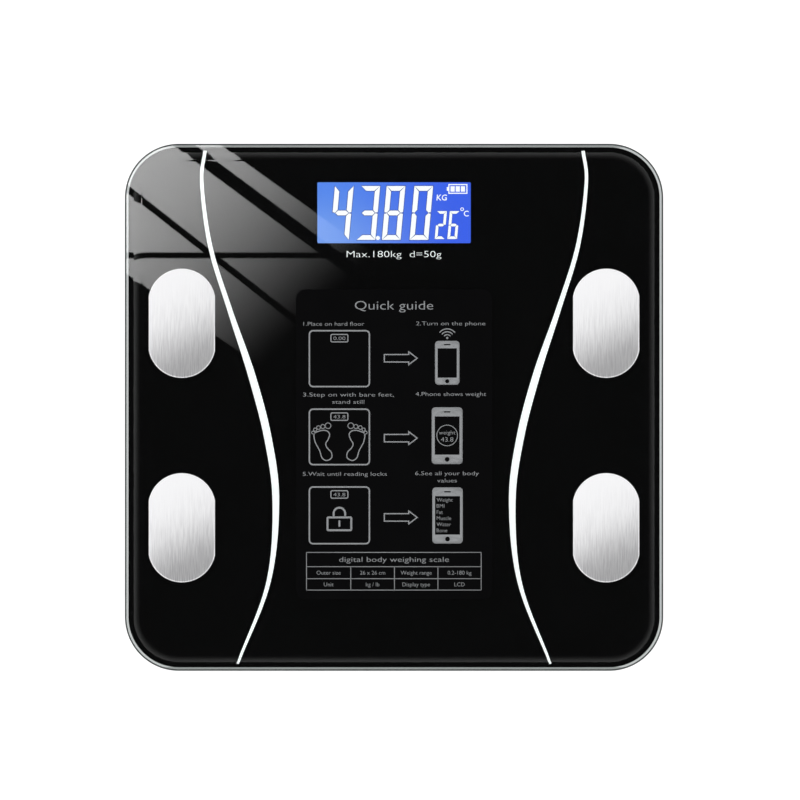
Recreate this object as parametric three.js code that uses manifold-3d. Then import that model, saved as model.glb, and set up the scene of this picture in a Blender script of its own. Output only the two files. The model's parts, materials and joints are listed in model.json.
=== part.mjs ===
// A digital bathroom scale: a printed tempered-glass platform on a shallow ABS tray, with four
// load-cell feet, four steel body electrodes, an LCD behind the glass and two AAA cells in a well.
// Millimetres, +Z up. The origin is on the floor under the middle of the glass, +X is to the
// reader's right and +Y points to the display end, where the toes go.
import * as THREE from 'three';
import { mergeVertices } from 'three/addons/utils/BufferGeometryUtils.js';
import Module from 'manifold-3d';

const wasm = await Module();
wasm.setup();

// ---- Driving dimensions -------------------------------------------------------------------
const GLASS = { width: 260, depth: 254.6, radius: 26, thickness: 6, arris: 0.7 };
const PRINT = { inset: 1.7, thickness: 0.2 };
const INK_THICKNESS = 0.1;
const TAPE = { thickness: 0.5, inset: 0.5, width: 4 };
const TRAY = { inset: 8, radius: 18, wall: 2, floor: 2, corner: 2.4, ledgeWidth: 5, ledgeHeight: 2 };
const Z_TRAY = 4.8;
const Z_FLOOR = Z_TRAY + TRAY.floor;
const Z_RIM = 17.6;
const Z_PRINT = Z_RIM + TAPE.thickness;
const Z_INK = Z_PRINT + PRINT.thickness;
const Z_GLASS = Z_INK + INK_THICKNESS;
const Z_TOP = Z_GLASS + GLASS.thickness;

const ELECTRODE = { width: 32, length: 52.8, endRadius: 16.3, thickness: 0.6, rim: 0.4 };
const ELECTRODE_X = 102.5;
const ELECTRODE_Y = { toe: 40.6, heel: -58.2 };
const STUD = { radius: 2, hole: 3, printHole: 3.2, bottom: 14 };
const NUT = { acrossFlats: 7, height: 3, bore: 2.3 };
const TERMINAL = { radius: 3.7, thickness: 0.5 };

const FOOT = { x: 95, y: 92, radius: 18, flange: 20, opening: 18.7, travel: 0.5 };
const PAD = { radius: 16.9, height: 2.4, chamfer: 0.7 };
const CELL = { size: 34, radius: 4, thickness: 1.6, bottom: 11 };
const HOLDER = { size: 40, radius: 8, bottom: 9.6, fit: 0.3, reliefTop: 15 };

const WINDOW = { width: 74.1, depth: 29.4, y: 94 };
const LCD = { width: 80, depth: 34, thickness: 2.8 };
const BOARD = { width: 100, yMin: 63, yMax: 113.5, bottom: 10.6, thickness: 1.6 };
const FRAME = { width: 100, depth: 39, radius: 2, fit: 0.3 };
const SCREW = { radius: 1, hole: 1.3, headRadius: 1.9, headHeight: 1.2, length: 4.8 };
const SCREW_X = 45;
const SCREW_DY = 16;
const Z_BOARD_TOP = BOARD.bottom + BOARD.thickness;
const Z_LCD = Z_PRINT - LCD.thickness;
const SCREW_PLACES = [[-1, -1], [1, -1], [-1, 1], [1, 1]]
  .map(([sx, sy]) => [sx * SCREW_X, WINDOW.y + sy * SCREW_DY]);

const BUTTON = { x: 26, y: 84, radius: 4.6, opening: 5, flange: 6.2, bottom: 5 };
const Z_BUTTON_TOP = 7.6;
const SWITCH = { size: 6, height: 2.1, plunger: 1.6, bore: 1.9 };

const AAA = { radius: 5.25, length: 44.5, nubRadius: 1.9, nubLength: 0.8, bottom: 6.75 };
const AAA_PITCH = 11.5;
const LEAD_Z = 15;
const WELL = { x: 0, y: 20, halfX: 26, halfY: 12, wall: 1.6, ceiling: 17.4, top: 18 };
const COVER = { thickness: 1.2, lip: 1.4, gap: 0.3, tabHalf: 6, tabReach: 4 };
const HOOK = { offset: 7.5, halfWidth: 2.5, reach: 2, fit: 0.4 };
const GUIDE = { radius: 23, bore: 21.4 };
const SLOT = { x: 10.5, yMin: -13, yMax: 11, tongueX: 6, tongueY: -9.5 };
const CONTACT = { thickness: 0.5, size: 9, wire: 0.4, coils: 3 };

const LABEL = { xHalf: 47.4, yMin: -92.8, yMax: 57, radius: 4.5, thickness: 0.15 };
const WIRE_RADIUS = 0.8;
const CABLE_RADIUS = 1.1;
const PILLARS = [[-22, -35], [22, -35], [-22, -90], [22, -90]];
const RIB = { thickness: 1.4, height: 2.8, step: 0.5, acrossY: [-60, -5, 50], alongX: [-66, 66] };

// Wire routes on the right-hand side, from the far end to the board. The left side mirrors them.
const ELECTRODE_ROUTES = {
  toe: [
    [94.5, 40.6, 17], [82, 45, 16], [62, 51, 14.5], [44, 57, 13.8], [35, 61.5, 13.4], [34, 67, 13.3],
  ],
  heel: [
    [94.5, -58.2, 17], [84, -46, 15.5], [68, -10, 14], [52, 20, 13.5], [41, 44, 13.4], [29, 58, 13.4],
    [27, 67, 13.3],
  ],
};
const CELL_CABLE_ROUTES = {
  toe: [
    [83, 92, 13.8], [72.5, 92, 13.8], [61, 85, 13.6], [54, 73, 13.6], [49, 67.5, 13.7], [43.5, 66.5, 13.7],
  ],
  heel: [
    [83, -92, 13.8], [72.5, -92, 13.8], [60, -78, 12], [51, -40, 11.5], [45, 0, 11.5], [39, 36, 12],
    [25, 54, 13.2], [20, 67, 13.7],
  ],
};
const BATTERY_ROUTES = {
  positive: [
    [26.3, 14.25, LEAD_Z], [29, 14.25, LEAD_Z], [34, 22, 14], [33, 36, 13.6], [22, 50, 13.4],
    [14, 60, 13.3], [13, 67, 13.3],
  ],
  negative: [
    [26.3, 25.75, LEAD_Z], [29, 25.75, LEAD_Z], [30, 33, 14], [20, 44, 13.5], [8, 56, 13.4], [6, 67, 13.3],
  ],
};

const ARC_STEPS = 6;
const ROUND_SIDES = 20;

// The four corners, named for the foot of the person who stands on them.
const CORNERS = [
  { name: 'toe_left', end: 'toe', sx: -1, sy: 1 },
  { name: 'toe_right', end: 'toe', sx: 1, sy: 1 },
  { name: 'heel_left', end: 'heel', sx: -1, sy: -1 },
  { name: 'heel_right', end: 'heel', sx: 1, sy: -1 },
];

// Left white stripe: middle line (x, y) and width, from the display end to the heel end.
const STRIPE = [
  [-91.3, 123.9, 1.6],
  [-92.9, 108.7, 1.6],
  [-88.8, 77.8, 2.0],
  [-79.3, 46.9, 2.4],
  [-68.9, 15.9, 3.5],
  [-60.9, -15.0, 3.6],
  [-57.1, -45.9, 3.2],
  [-60.7, -84.6, 2.0],
  [-75.6, -123.9, 1.1],
];
const STRIPE_STEPS = 24;

// ---- Solids -------------------------------------------------------------------------------
// Shared vertices merged and the triangles that this leaves empty dropped.
function welded(geometry) {
  const merged = mergeVertices(geometry, 1e-4);
  const index = merged.index.array;
  const kept = [];
  for (let i = 0; i < index.length; i += 3) {
    const [a, b, c] = [index[i], index[i + 1], index[i + 2]];
    if (a !== b && b !== c && c !== a) kept.push(a, b, c);
  }
  merged.setIndex(kept);
  return merged;
}

// A closed three.js geometry as a solid.
function solid(geometry) {
  const bare = geometry.index ? geometry.toNonIndexed() : geometry.clone();
  bare.deleteAttribute('normal');
  bare.deleteAttribute('uv');
  const merged = welded(bare);
  return new wasm.Manifold(
    new wasm.Mesh({
      numProp: 3,
      vertProperties: new Float32Array(merged.attributes.position.array),
      triVerts: new Uint32Array(merged.index.array),
    }),
  );
}

function geometryOf(manifold) {
  const { numProp, vertProperties, triVerts } = manifold.getMesh();
  const count = vertProperties.length / numProp;
  const position = new Float32Array(count * 3);
  for (let i = 0; i < count; i += 1) {
    position.set(vertProperties.subarray(i * numProp, i * numProp + 3), i * 3);
  }
  const geometry = new THREE.BufferGeometry();
  geometry.setAttribute('position', new THREE.BufferAttribute(position, 3));
  geometry.setIndex([...triVerts]);
  const closed = welded(geometry);
  closed.computeVertexNormals();
  return closed;
}

function join(...solids) {
  return solids.reduce((sum, next) => sum.add(next));
}

function cut(from, ...solids) {
  return solids.reduce((rest, next) => rest.subtract(next), from);
}

function roundedRect(width, depth, radius) {
  const x = width / 2 - radius;
  const y = depth / 2 - radius;
  const shape = new THREE.Shape();
  shape.absarc(x, y, radius, 0, Math.PI / 2);
  shape.absarc(-x, y, radius, Math.PI / 2, Math.PI);
  shape.absarc(-x, -y, radius, Math.PI, 1.5 * Math.PI);
  shape.absarc(x, -y, radius, 1.5 * Math.PI, 2 * Math.PI);
  shape.closePath();
  return shape;
}

// Two straight sides joined by circular ends that are a little less than half circles.
function electrodeOutline(inset) {
  const half = ELECTRODE.width / 2 - inset;
  const radius = ELECTRODE.endRadius - inset;
  const centre = ELECTRODE.length / 2 - ELECTRODE.endRadius;
  const start = Math.acos(half / radius);
  const shape = new THREE.Shape();
  shape.absarc(0, centre, radius, start, Math.PI - start);
  shape.absarc(0, -centre, radius, Math.PI + start, 2 * Math.PI - start);
  shape.closePath();
  return shape;
}

function slab(shape, low, high, steps = ARC_STEPS) {
  const geometry = new THREE.ExtrudeGeometry(shape, {
    depth: high - low,
    bevelEnabled: false,
    curveSegments: steps,
  });
  return solid(geometry.translate(0, 0, low));
}

function block(xMin, xMax, yMin, yMax, zMin, zMax) {
  const geometry = new THREE.BoxGeometry(xMax - xMin, yMax - yMin, zMax - zMin);
  geometry.translate((xMin + xMax) / 2, (yMin + yMax) / 2, (zMin + zMax) / 2);
  return solid(geometry);
}

function cylinder(radius, low, high, x = 0, y = 0, sides = ROUND_SIDES) {
  const geometry = new THREE.CylinderGeometry(radius, radius, high - low, sides);
  geometry.rotateX(Math.PI / 2);
  return solid(geometry.translate(x, y, (low + high) / 2));
}

// A profile of [radius, z] points, from the axis and back to it, turned about Z.
function turned(profile, sides = ROUND_SIDES) {
  const points = profile.map(([radius, z]) => new THREE.Vector2(radius, z));
  const geometry = new THREE.LatheGeometry(points, sides);
  return solid(geometry.rotateX(Math.PI / 2));
}

// Rings of one outline at several [z, inset] levels, skinned and closed top and bottom.
function stacked(outlineAt, levels, steps = ARC_STEPS) {
  const rings = levels.map(([z, inset]) =>
    outlineAt(inset).extractPoints(steps).shape.map((p) => new THREE.Vector3(p.x, p.y, z)),
  );
  const outline = rings[0].map((p) => new THREE.Vector2(p.x, p.y));
  if (outline[0].distanceTo(outline[outline.length - 1]) < 1e-6) {
    outline.pop();
    rings.forEach((ring) => ring.pop());
  }
  const count = outline.length;
  const caps = THREE.ShapeUtils.triangulateShape(outline, []);
  const last = (rings.length - 1) * count;
  const index = [];
  caps.forEach(([a, b, c]) => index.push(c, b, a, last + a, last + b, last + c));
  for (let level = 0; level + 1 < rings.length; level += 1) {
    for (let i = 0; i < count; i += 1) {
      const a = level * count + i;
      const b = level * count + ((i + 1) % count);
      index.push(a, b, b + count, a, b + count, a + count);
    }
  }
  const geometry = new THREE.BufferGeometry().setFromPoints(rings.flat());
  geometry.setIndex(index);
  return solid(geometry);
}

// A round wire of the given radius through a smooth curve of [x, y, z] points.
function wire(points, radius, stepsPerSpan = 2, sides = 5) {
  const curve = new THREE.CatmullRomCurve3(
    points.map((p) => new THREE.Vector3(...p)), false, 'centripetal',
  );
  return tube(curve, radius, (points.length - 1) * stepsPerSpan, sides);
}

function tube(curve, radius, steps, sides) {
  const section = new THREE.Shape();
  for (let i = 0; i < sides; i += 1) {
    const angle = (2 * Math.PI * i) / sides;
    const [x, y] = [radius * Math.cos(angle), radius * Math.sin(angle)];
    if (i) section.lineTo(x, y);
    else section.moveTo(x, y);
  }
  section.closePath();
  return solid(new THREE.ExtrudeGeometry(section, { steps, extrudePath: curve }));
}

// ---- Materials ----------------------------------------------------------------------------
function material(color, roughness, metalness = 0, extra = {}) {
  return new THREE.MeshStandardMaterial({ color, roughness, metalness, ...extra });
}

const GLASS_CLEAR = () => material(0xdde6e4, 0.05, 0, { transparent: true, opacity: 0.3 });
const BLACK_INK = () => material(0x0a0a0a, 0.3);
const WHITE_INK = () => material(0xf2f2f2, 0.4);
const LABEL_FILM = () => material(0x16171a, 0.35);
const STEEL = () => material(0xc4c6c8, 0.32, 1);
const SPRING_STEEL = () => material(0xa9abae, 0.3, 1);
const ZINC = () => material(0xb8bab5, 0.4, 1);
const BLACK_ABS = () => material(0x1b1c1e, 0.6);
const HOLDER_ABS = () => material(0xe4e3dd, 0.55);
const RUBBER = () => material(0x2a2b2c, 0.85);
const FOAM = () => material(0xe9e9e4, 0.9);
const LCD_BLUE = () => material(0x4a78f0, 0.2);
const DIFFUSER = () => material(0xf4f6fb, 0.5);
const ELASTOMER = () => material(0xd8b8a8, 0.8);
const BOARD_GREEN = () => material(0x1d5b34, 0.45);
const EPOXY = () => material(0x101010, 0.35);
const CELL_WRAP = () => material(0x2f6f4f, 0.35);
const RED_WIRE = () => material(0xb3261e, 0.5);
const BLACK_WIRE = () => material(0x151515, 0.5);
const WHITE_WIRE = () => material(0xe8e8e8, 0.5);

const scale = new THREE.Group();

function add(name, part, look) {
  const mesh = new THREE.Mesh(geometryOf(part), look);
  mesh.name = name;
  scale.add(mesh);
}

// ---- Platform: glass, prints, label and electrodes ------------------------------------------
const glassOutline = (inset) =>
  roundedRect(GLASS.width - 2 * inset, GLASS.depth - 2 * inset, GLASS.radius - inset);

const mirrored = (route, sx) => route.map(([x, y, z]) => [sx * x, y, z]);

function electrodePlace({ end, sx }) {
  return [sx * ELECTRODE_X, ELECTRODE_Y[end]];
}

function glassPlatform() {
  const levels = [
    [Z_GLASS, GLASS.arris],
    [Z_GLASS + GLASS.arris, 0],
    [Z_TOP - GLASS.arris, 0],
    [Z_TOP, GLASS.arris],
  ];
  const plate = stacked(glassOutline, levels);
  return cut(plate, ...CORNERS.map((corner) =>
    cylinder(STUD.hole, Z_GLASS - 1, Z_TOP + 1, ...electrodePlace(corner), 12)));
}

function blackPrint() {
  const sheet = slab(glassOutline(PRINT.inset), Z_PRINT, Z_INK);
  const { width, depth, y } = WINDOW;
  const window = block(-width / 2, width / 2, y - depth / 2, y + depth / 2, Z_PRINT - 1, Z_INK + 1);
  return cut(sheet, window, ...CORNERS.map((corner) =>
    cylinder(STUD.printHole, Z_PRINT - 1, Z_INK + 1, ...electrodePlace(corner), 12)));
}

// The stripe's width follows the same spline as its middle line, carried as the third number.
function whiteStripe(side) {
  const points = STRIPE.map(([x, y, width]) => new THREE.Vector3(-side * x, y, width));
  const spline = new THREE.CatmullRomCurve3(points, false, 'centripetal');
  const samples = spline.getPoints(STRIPE_STEPS);
  const edge = (offset) => samples.map((p, i) => {
    const before = samples[Math.max(i - 1, 0)];
    const after = samples[Math.min(i + 1, STRIPE_STEPS)];
    const along = new THREE.Vector2(after.x - before.x, after.y - before.y).normalize();
    return new THREE.Vector2(p.x - along.y * offset * p.z, p.y + along.x * offset * p.z);
  });
  const outline = [...edge(-0.5), ...edge(0.5).reverse()];
  return slab(new THREE.Shape(outline), Z_INK, Z_GLASS);
}

function instructionLabel() {
  const { xHalf, yMin, yMax, radius, thickness } = LABEL;
  const film = slab(roundedRect(2 * xHalf, yMax - yMin, radius), Z_TOP, Z_TOP + thickness, 5);
  return film.translate([0, (yMin + yMax) / 2, 0]);
}

// A brushed steel plate with a softened rim, on a stud that goes down through the glass.
function electrode(corner) {
  const { thickness, rim } = ELECTRODE;
  const levels = [
    [Z_TOP, 0],
    [Z_TOP + thickness - rim, 0],
    [Z_TOP + thickness, rim],
  ];
  const plate = stacked(electrodeOutline, levels);
  const stud = cylinder(STUD.radius, STUD.bottom, Z_TOP + thickness / 2, 0, 0, 10);
  return join(plate, stud).translate([...electrodePlace(corner), 0]);
}

function electrodeNut(corner) {
  const top = Z_PRINT - TERMINAL.thickness;
  const radius = NUT.acrossFlats / Math.sqrt(3);
  const hexagon = cylinder(radius, top - NUT.height, top, 0, 0, 6);
  const bore = cylinder(NUT.bore, top - NUT.height - 1, top + 1, 0, 0, 12);
  return cut(hexagon, bore).translate([...electrodePlace(corner), 0]);
}

// Ring terminal under the print, its crimp barrel, and the lead that runs to the board.
function electrodeLead(corner) {
  const [x, y] = electrodePlace(corner);
  const { sx } = corner;
  const bottom = Z_PRINT - TERMINAL.thickness;
  const ring = cut(
    cylinder(TERMINAL.radius, bottom, Z_PRINT, x, y, 12),
    cylinder(NUT.bore, bottom - 1, Z_PRINT + 1, x, y, 12),
  );
  const inward = (from, to) => [x - sx * from, x - sx * to].sort((a, b) => a - b);
  const tongue = block(...inward(3, 6), y - 1.2, y + 1.2, bottom, Z_PRINT);
  const barrel = block(...inward(4.6, 9.5), y - 1.2, y + 1.2, Z_PRINT - 1.9, Z_PRINT - 0.1);
  const route = mirrored(ELECTRODE_ROUTES[corner.end], sx);
  return join(ring, tongue, barrel, wire(route, WIRE_RADIUS));
}

// ---- Tray -----------------------------------------------------------------------------------
const trayOutline = (inset) => roundedRect(
  GLASS.width - 2 * (TRAY.inset + inset), GLASS.depth - 2 * (TRAY.inset + inset), TRAY.radius - inset,
);

function ribs() {
  const { thickness, height, acrossY, alongX } = RIB;
  const half = thickness / 2;
  const xEnd = GLASS.width / 2 - TRAY.inset - TRAY.wall / 2;
  const yEnd = GLASS.depth / 2 - TRAY.inset - TRAY.wall / 2;
  const top = Z_FLOOR + height;
  const low = Z_FLOOR - 1;
  return join(
    ...acrossY.map((y) => block(-xEnd, xEnd, y - half, y + half, low, top)),
    ...alongX.map((x) => block(x - half, x + half, -yEnd, yEnd, low, top - RIB.step)),
  );
}

// Everything that is taken out of the tray for the batteries, their cover and its hooks.
function batteryCuts() {
  const { x, y, halfX, halfY, wall, ceiling } = WELL;
  const lipX = halfX + COVER.lip;
  const lipY = halfY + COVER.lip;
  const hookEnd = x - lipX - HOOK.reach - HOOK.fit;
  const hookHalf = HOOK.halfWidth + HOOK.fit;
  const inside = block(x - halfX, x + halfX, y - halfY, y + halfY, Z_TRAY - 1, ceiling);
  const recess = block(x - lipX, x + lipX, y - lipY, y + lipY, Z_TRAY - 1, Z_TRAY + COVER.thickness);
  const fingerEnd = x + lipX + COVER.tabReach + 2.4;
  const tabHalf = COVER.tabHalf + 0.4;
  const finger = block(x + lipX - 1, fingerEnd, y - tabHalf, y + tabHalf, Z_TRAY - 1, Z_FLOOR - 0.5)
    .add(block(x + halfX + wall, fingerEnd, y - tabHalf, y + tabHalf, Z_FLOOR - 1, Z_FLOOR + 1));
  const hooks = [-1, 1].map((side) => {
    const middle = y + side * HOOK.offset;
    return block(hookEnd, x - halfX + 0.1, middle - hookHalf, middle + hookHalf, Z_TRAY + 0.6, Z_FLOOR + 1.6);
  });
  const leadHoles = [-1, 1].map((side) => {
    const hole = new THREE.CylinderGeometry(1.6, 1.6, 3 * wall, 10).rotateZ(Math.PI / 2);
    return solid(hole.translate(x + halfX + wall / 2, y + side * AAA_PITCH / 2, LEAD_Z));
  });
  return [inside, recess, finger, ...hooks, ...leadHoles];
}

function baseTray() {
  const shell = cut(
    stacked(trayOutline, [
      [Z_TRAY, TRAY.corner],
      [Z_TRAY + 0.3 * TRAY.corner, 0.3 * TRAY.corner],
      [Z_TRAY + TRAY.corner, 0],
      [Z_RIM, 0],
    ]),
    slab(trayOutline(TRAY.wall), Z_FLOOR, Z_RIM - TRAY.ledgeHeight),
    slab(trayOutline(TRAY.ledgeWidth), Z_RIM - TRAY.ledgeHeight - 1, Z_RIM + 1),
  );
  const boardBay = block(-BOARD.width / 2 - 2, BOARD.width / 2 + 2, BOARD.yMin - 2, BOARD.yMax + 1,
    Z_FLOOR, Z_RIM);
  const ribbed = join(shell, cut(ribs(), boardBay));
  const guides = CORNERS.map(({ sx, sy }) => cut(
    cylinder(GUIDE.radius, Z_FLOOR - 1, HOLDER.bottom, sx * FOOT.x, sy * FOOT.y),
    cylinder(GUIDE.bore, Z_FLOOR, HOLDER.bottom + 1, sx * FOOT.x, sy * FOOT.y),
  ));
  const { x, y, halfX, halfY, wall, top } = WELL;
  const well = block(x - halfX - wall, x + halfX + wall, y - halfY - wall, y + halfY + wall,
    Z_FLOOR - 1, top);
  const pillars = PILLARS.map(([px, py]) => cylinder(4, Z_FLOOR - 1, Z_PRINT, px, py, 12));
  const openings = CORNERS.map(({ sx, sy }) =>
    cylinder(FOOT.opening, Z_TRAY - 1, Z_FLOOR + 1, sx * FOOT.x, sy * FOOT.y));
  const buttonHole = cylinder(BUTTON.opening, Z_TRAY - 1, Z_FLOOR + 1, BUTTON.x, BUTTON.y);
  return cut(join(ribbed, ...guides, well, ...pillars), ...openings, buttonHole, ...batteryCuts());
}

function bondingTape() {
  const outer = slab(trayOutline(TAPE.inset), Z_RIM, Z_PRINT);
  return cut(outer, slab(trayOutline(TAPE.inset + TAPE.width), Z_RIM - 1, Z_PRINT + 1));
}

// ---- Feet and load cells --------------------------------------------------------------------
function footPad() {
  const { radius, height, chamfer } = PAD;
  return turned([[0, 0], [radius - chamfer, 0], [radius, chamfer], [radius, height], [0, height]]);
}

// A cup with a flange that keeps it in the tray, and a stud under the load cell's tongue.
function footCup() {
  const stud = CELL.bottom - FOOT.travel - 0.1;
  return turned([
    [0, PAD.height], [PAD.radius + 0.3, PAD.height], [PAD.radius + 0.3, 1.4], [FOOT.radius, 1.4],
    [FOOT.radius, 7.2], [FOOT.flange, 7.2], [FOOT.flange, 8.4], [15, 8.4], [15, 4.4],
    [4, 4.4], [4, stud - 0.6], [3.4, stud], [0, stud],
  ]);
}

// An E-shaped steel plate: an outer frame and a tongue that bends when the foot presses on it.
function loadCell() {
  const low = CELL.bottom;
  const high = low + CELL.thickness;
  const plate = slab(roundedRect(CELL.size, CELL.size, CELL.radius), low, high, 2);
  const slot = block(-SLOT.x, SLOT.x, SLOT.yMin, SLOT.yMax, low - 1, high + 1);
  const tongue = block(-SLOT.tongueX, SLOT.tongueX, SLOT.tongueY, SLOT.yMax + 1, low, high);
  return join(cut(plate, slot), tongue);
}

// Glued under the glass: a pocket that the load cell clips into, with room above its tongue.
function loadCellHolder() {
  const cellTop = CELL.bottom + CELL.thickness;
  const pocketSize = CELL.size + 2 * HOLDER.fit;
  const body = slab(roundedRect(HOLDER.size, HOLDER.size, HOLDER.radius), HOLDER.bottom, Z_PRINT, 3);
  const pocket = slab(roundedRect(pocketSize, pocketSize, CELL.radius), HOLDER.bottom - 1, cellTop, 2);
  const relief = block(-12.5, 12.5, -14, 14, cellTop - 1, HOLDER.reliefTop);
  const wireSlot = block(0, HOLDER.size / 2 + 1, -2, 2, cellTop, HOLDER.reliefTop);
  const clips = [[1, 0], [-1, 0], [0, 1], [0, -1]].map(([dx, dy]) => {
    const middle = pocketSize / 2;
    const across = dx ? 0.9 : 3;
    const along = dy ? 0.9 : 3;
    return block(dx * middle - across, dx * middle + across, dy * middle - along, dy * middle + along,
      HOLDER.bottom, CELL.bottom);
  });
  return join(cut(body, pocket, relief, wireSlot), ...clips);
}

function loadCellCable({ sx, end }) {
  return wire(mirrored(CELL_CABLE_ROUTES[end], sx), CABLE_RADIUS);
}

// ---- Display and board ----------------------------------------------------------------------
function lcdPanel() {
  const { width, depth } = LCD;
  return block(-width / 2, width / 2, WINDOW.y - depth / 2, WINDOW.y + depth / 2, Z_LCD, Z_PRINT);
}

function backlight() {
  return block(-39, 39, WINDOW.y - 12.5, WINDOW.y + 16.5, Z_BOARD_TOP, Z_LCD);
}

function zebraStrip() {
  return block(-36, 36, WINDOW.y - 16.4, WINDOW.y - 14, Z_BOARD_TOP, Z_LCD);
}

function displayHolder() {
  const outer = slab(roundedRect(FRAME.width, FRAME.depth, FRAME.radius), Z_BOARD_TOP, Z_PRINT, 3)
    .translate([0, WINDOW.y, 0]);
  const halfX = LCD.width / 2 + FRAME.fit;
  const halfY = LCD.depth / 2 + FRAME.fit;
  const bay = block(-halfX, halfX, WINDOW.y - halfY, WINDOW.y + halfY, Z_BOARD_TOP - 1, Z_PRINT + 1);
  const pilots = SCREW_PLACES.map(([x, y]) =>
    cylinder(SCREW.hole, Z_BOARD_TOP - 1, Z_BOARD_TOP + SCREW.length + 0.4, x, y, 8));
  return cut(outer, bay, ...pilots);
}

function mainBoard() {
  const { width, yMin, yMax, bottom } = BOARD;
  const board = block(-width / 2, width / 2, yMin, yMax, bottom, Z_BOARD_TOP);
  return cut(board, ...SCREW_PLACES.map(([x, y]) =>
    cylinder(SCREW.hole, bottom - 1, Z_BOARD_TOP + 1, x, y, 8)));
}

function boardScrew([x, y]) {
  const low = BOARD.bottom;
  return join(
    cylinder(SCREW.headRadius, low - SCREW.headHeight, low, x, y, 10),
    cylinder(SCREW.radius, low - SCREW.headHeight / 2, low + SCREW.length, x, y, 6),
  );
}

// The bare chip under its round drop of black epoxy, on the board's underside.
function controllerChip() {
  const low = BOARD.bottom;
  return turned([[0, low - 1.6], [3.5, low - 1.35], [6, low - 0.6], [7, low], [0, low]])
    .translate([-14, WINDOW.y, 0]);
}

function tactSwitch() {
  const half = SWITCH.size / 2;
  const low = BOARD.bottom - SWITCH.height;
  const { x, y } = BUTTON;
  const body = block(x - half, x + half, y - half, y + half, low, BOARD.bottom);
  return cut(body, cylinder(SWITCH.bore, low - 1, BOARD.bottom - 0.2, x, y, 12));
}

function switchPlunger() {
  return cylinder(SWITCH.plunger, Z_BUTTON_TOP, 9.4, BUTTON.x, BUTTON.y, 12);
}

function unitButton() {
  const { x, y, radius, flange, bottom } = BUTTON;
  return turned([
    [0, bottom], [radius - 0.5, bottom], [radius, bottom + 0.5], [radius, Z_FLOOR + 0.2],
    [flange, Z_FLOOR + 0.2], [flange, Z_BUTTON_TOP], [0, Z_BUTTON_TOP],
  ]).translate([x, y, 0]);
}

// ---- Battery compartment ----------------------------------------------------------------------
// A cell along X: +1 has its positive nub at +X.
function batteryCell(direction) {
  const body = AAA.length - AAA.nubLength;
  const cell = turned([
    [0, 0], [AAA.radius - 0.5, 0], [AAA.radius, 0.5], [AAA.radius, body - 0.5], [AAA.radius - 0.5, body],
    [AAA.nubRadius, body], [AAA.nubRadius, AAA.length], [0, AAA.length],
  ], 16);
  const tip = WELL.halfX - CONTACT.thickness - 0.1;
  const lying = cell.rotate([0, direction * 90, 0]);
  return lying.translate([
    WELL.x + direction * (tip - AAA.length), WELL.y - direction * AAA_PITCH / 2, AAA.bottom + AAA.radius,
  ]);
}

// A contact plate on the end wall that side faces, standing behind one cell.
function contactPlate(side, y, halfWidth) {
  const inner = WELL.x + side * (WELL.halfX - CONTACT.thickness);
  const outer = WELL.x + side * WELL.halfX;
  const low = AAA.bottom + AAA.radius - CONTACT.size / 2;
  return block(Math.min(inner, outer), Math.max(inner, outer), y - halfWidth, y + halfWidth,
    low, low + CONTACT.size);
}

// A conical coil that presses on a cell's flat end.
class ConeCoil extends THREE.Curve {
  constructor(side, y) {
    super();
    this.side = side;
    this.y = y;
  }

  getPoint(t, target = new THREE.Vector3()) {
    const angle = 2 * Math.PI * CONTACT.coils * t;
    const radius = 3.9 - 1.4 * t;
    const length = 2 * WELL.halfX - 2 * CONTACT.thickness - AAA.length - 0.9;
    const start = WELL.halfX - CONTACT.thickness;
    return target.set(
      WELL.x + this.side * (start - length * t),
      this.y + radius * Math.cos(angle),
      AAA.bottom + AAA.radius + radius * Math.sin(angle),
    );
  }
}

function contactSpring(side, y) {
  return tube(new ConeCoil(side, y), CONTACT.wire, CONTACT.coils * 9, 4);
}

function contactBridge() {
  const plate = contactPlate(-1, WELL.y, AAA_PITCH / 2 + CONTACT.size / 2);
  return join(plate, contactSpring(-1, WELL.y - AAA_PITCH / 2));
}

function contactNegative() {
  const y = WELL.y + AAA_PITCH / 2;
  return join(contactPlate(1, y, CONTACT.size / 2), contactSpring(1, y));
}

function contactPositive() {
  return contactPlate(1, WELL.y - AAA_PITCH / 2, CONTACT.size / 2);
}

// A flush lid with two hooks on the hinge edge, a finger tab opposite and two cradle ribs.
function batteryCover() {
  const { x, y, halfX, halfY } = WELL;
  const reachX = halfX + COVER.lip - COVER.gap;
  const reachY = halfY + COVER.lip - COVER.gap;
  const top = Z_TRAY + COVER.thickness;
  const lid = block(x - reachX, x + reachX, y - reachY, y + reachY, Z_TRAY, top);
  const tab = block(x + reachX - 1, x + reachX + COVER.tabReach, y - COVER.tabHalf, y + COVER.tabHalf,
    Z_TRAY, top);
  const hooks = [-1, 1].map((side) => {
    const middle = y + side * HOOK.offset;
    const { halfWidth, reach } = HOOK;
    return block(x - reachX - reach, x - reachX + 1, middle - halfWidth, middle + halfWidth,
      top - 0.4, top + 0.2);
  });
  const cradles = [-12, 12].map((dx) =>
    block(x + dx - 0.8, x + dx + 0.8, y - halfY + 1, y + halfY - 1, top - 0.2, top + 0.5));
  return join(lid, tab, ...hooks, ...cradles);
}

// ---- Assembly -----------------------------------------------------------------------------------
add('glass_platform', glassPlatform(), GLASS_CLEAR());
add('glass_back_print', blackPrint(), BLACK_INK());
add('stripe_left', whiteStripe(-1), WHITE_INK());
add('stripe_right', whiteStripe(1), WHITE_INK());
add('instruction_label', instructionLabel(), LABEL_FILM());
add('bonding_tape', bondingTape(), FOAM());
add('base_tray', baseTray(), BLACK_ABS());

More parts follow.
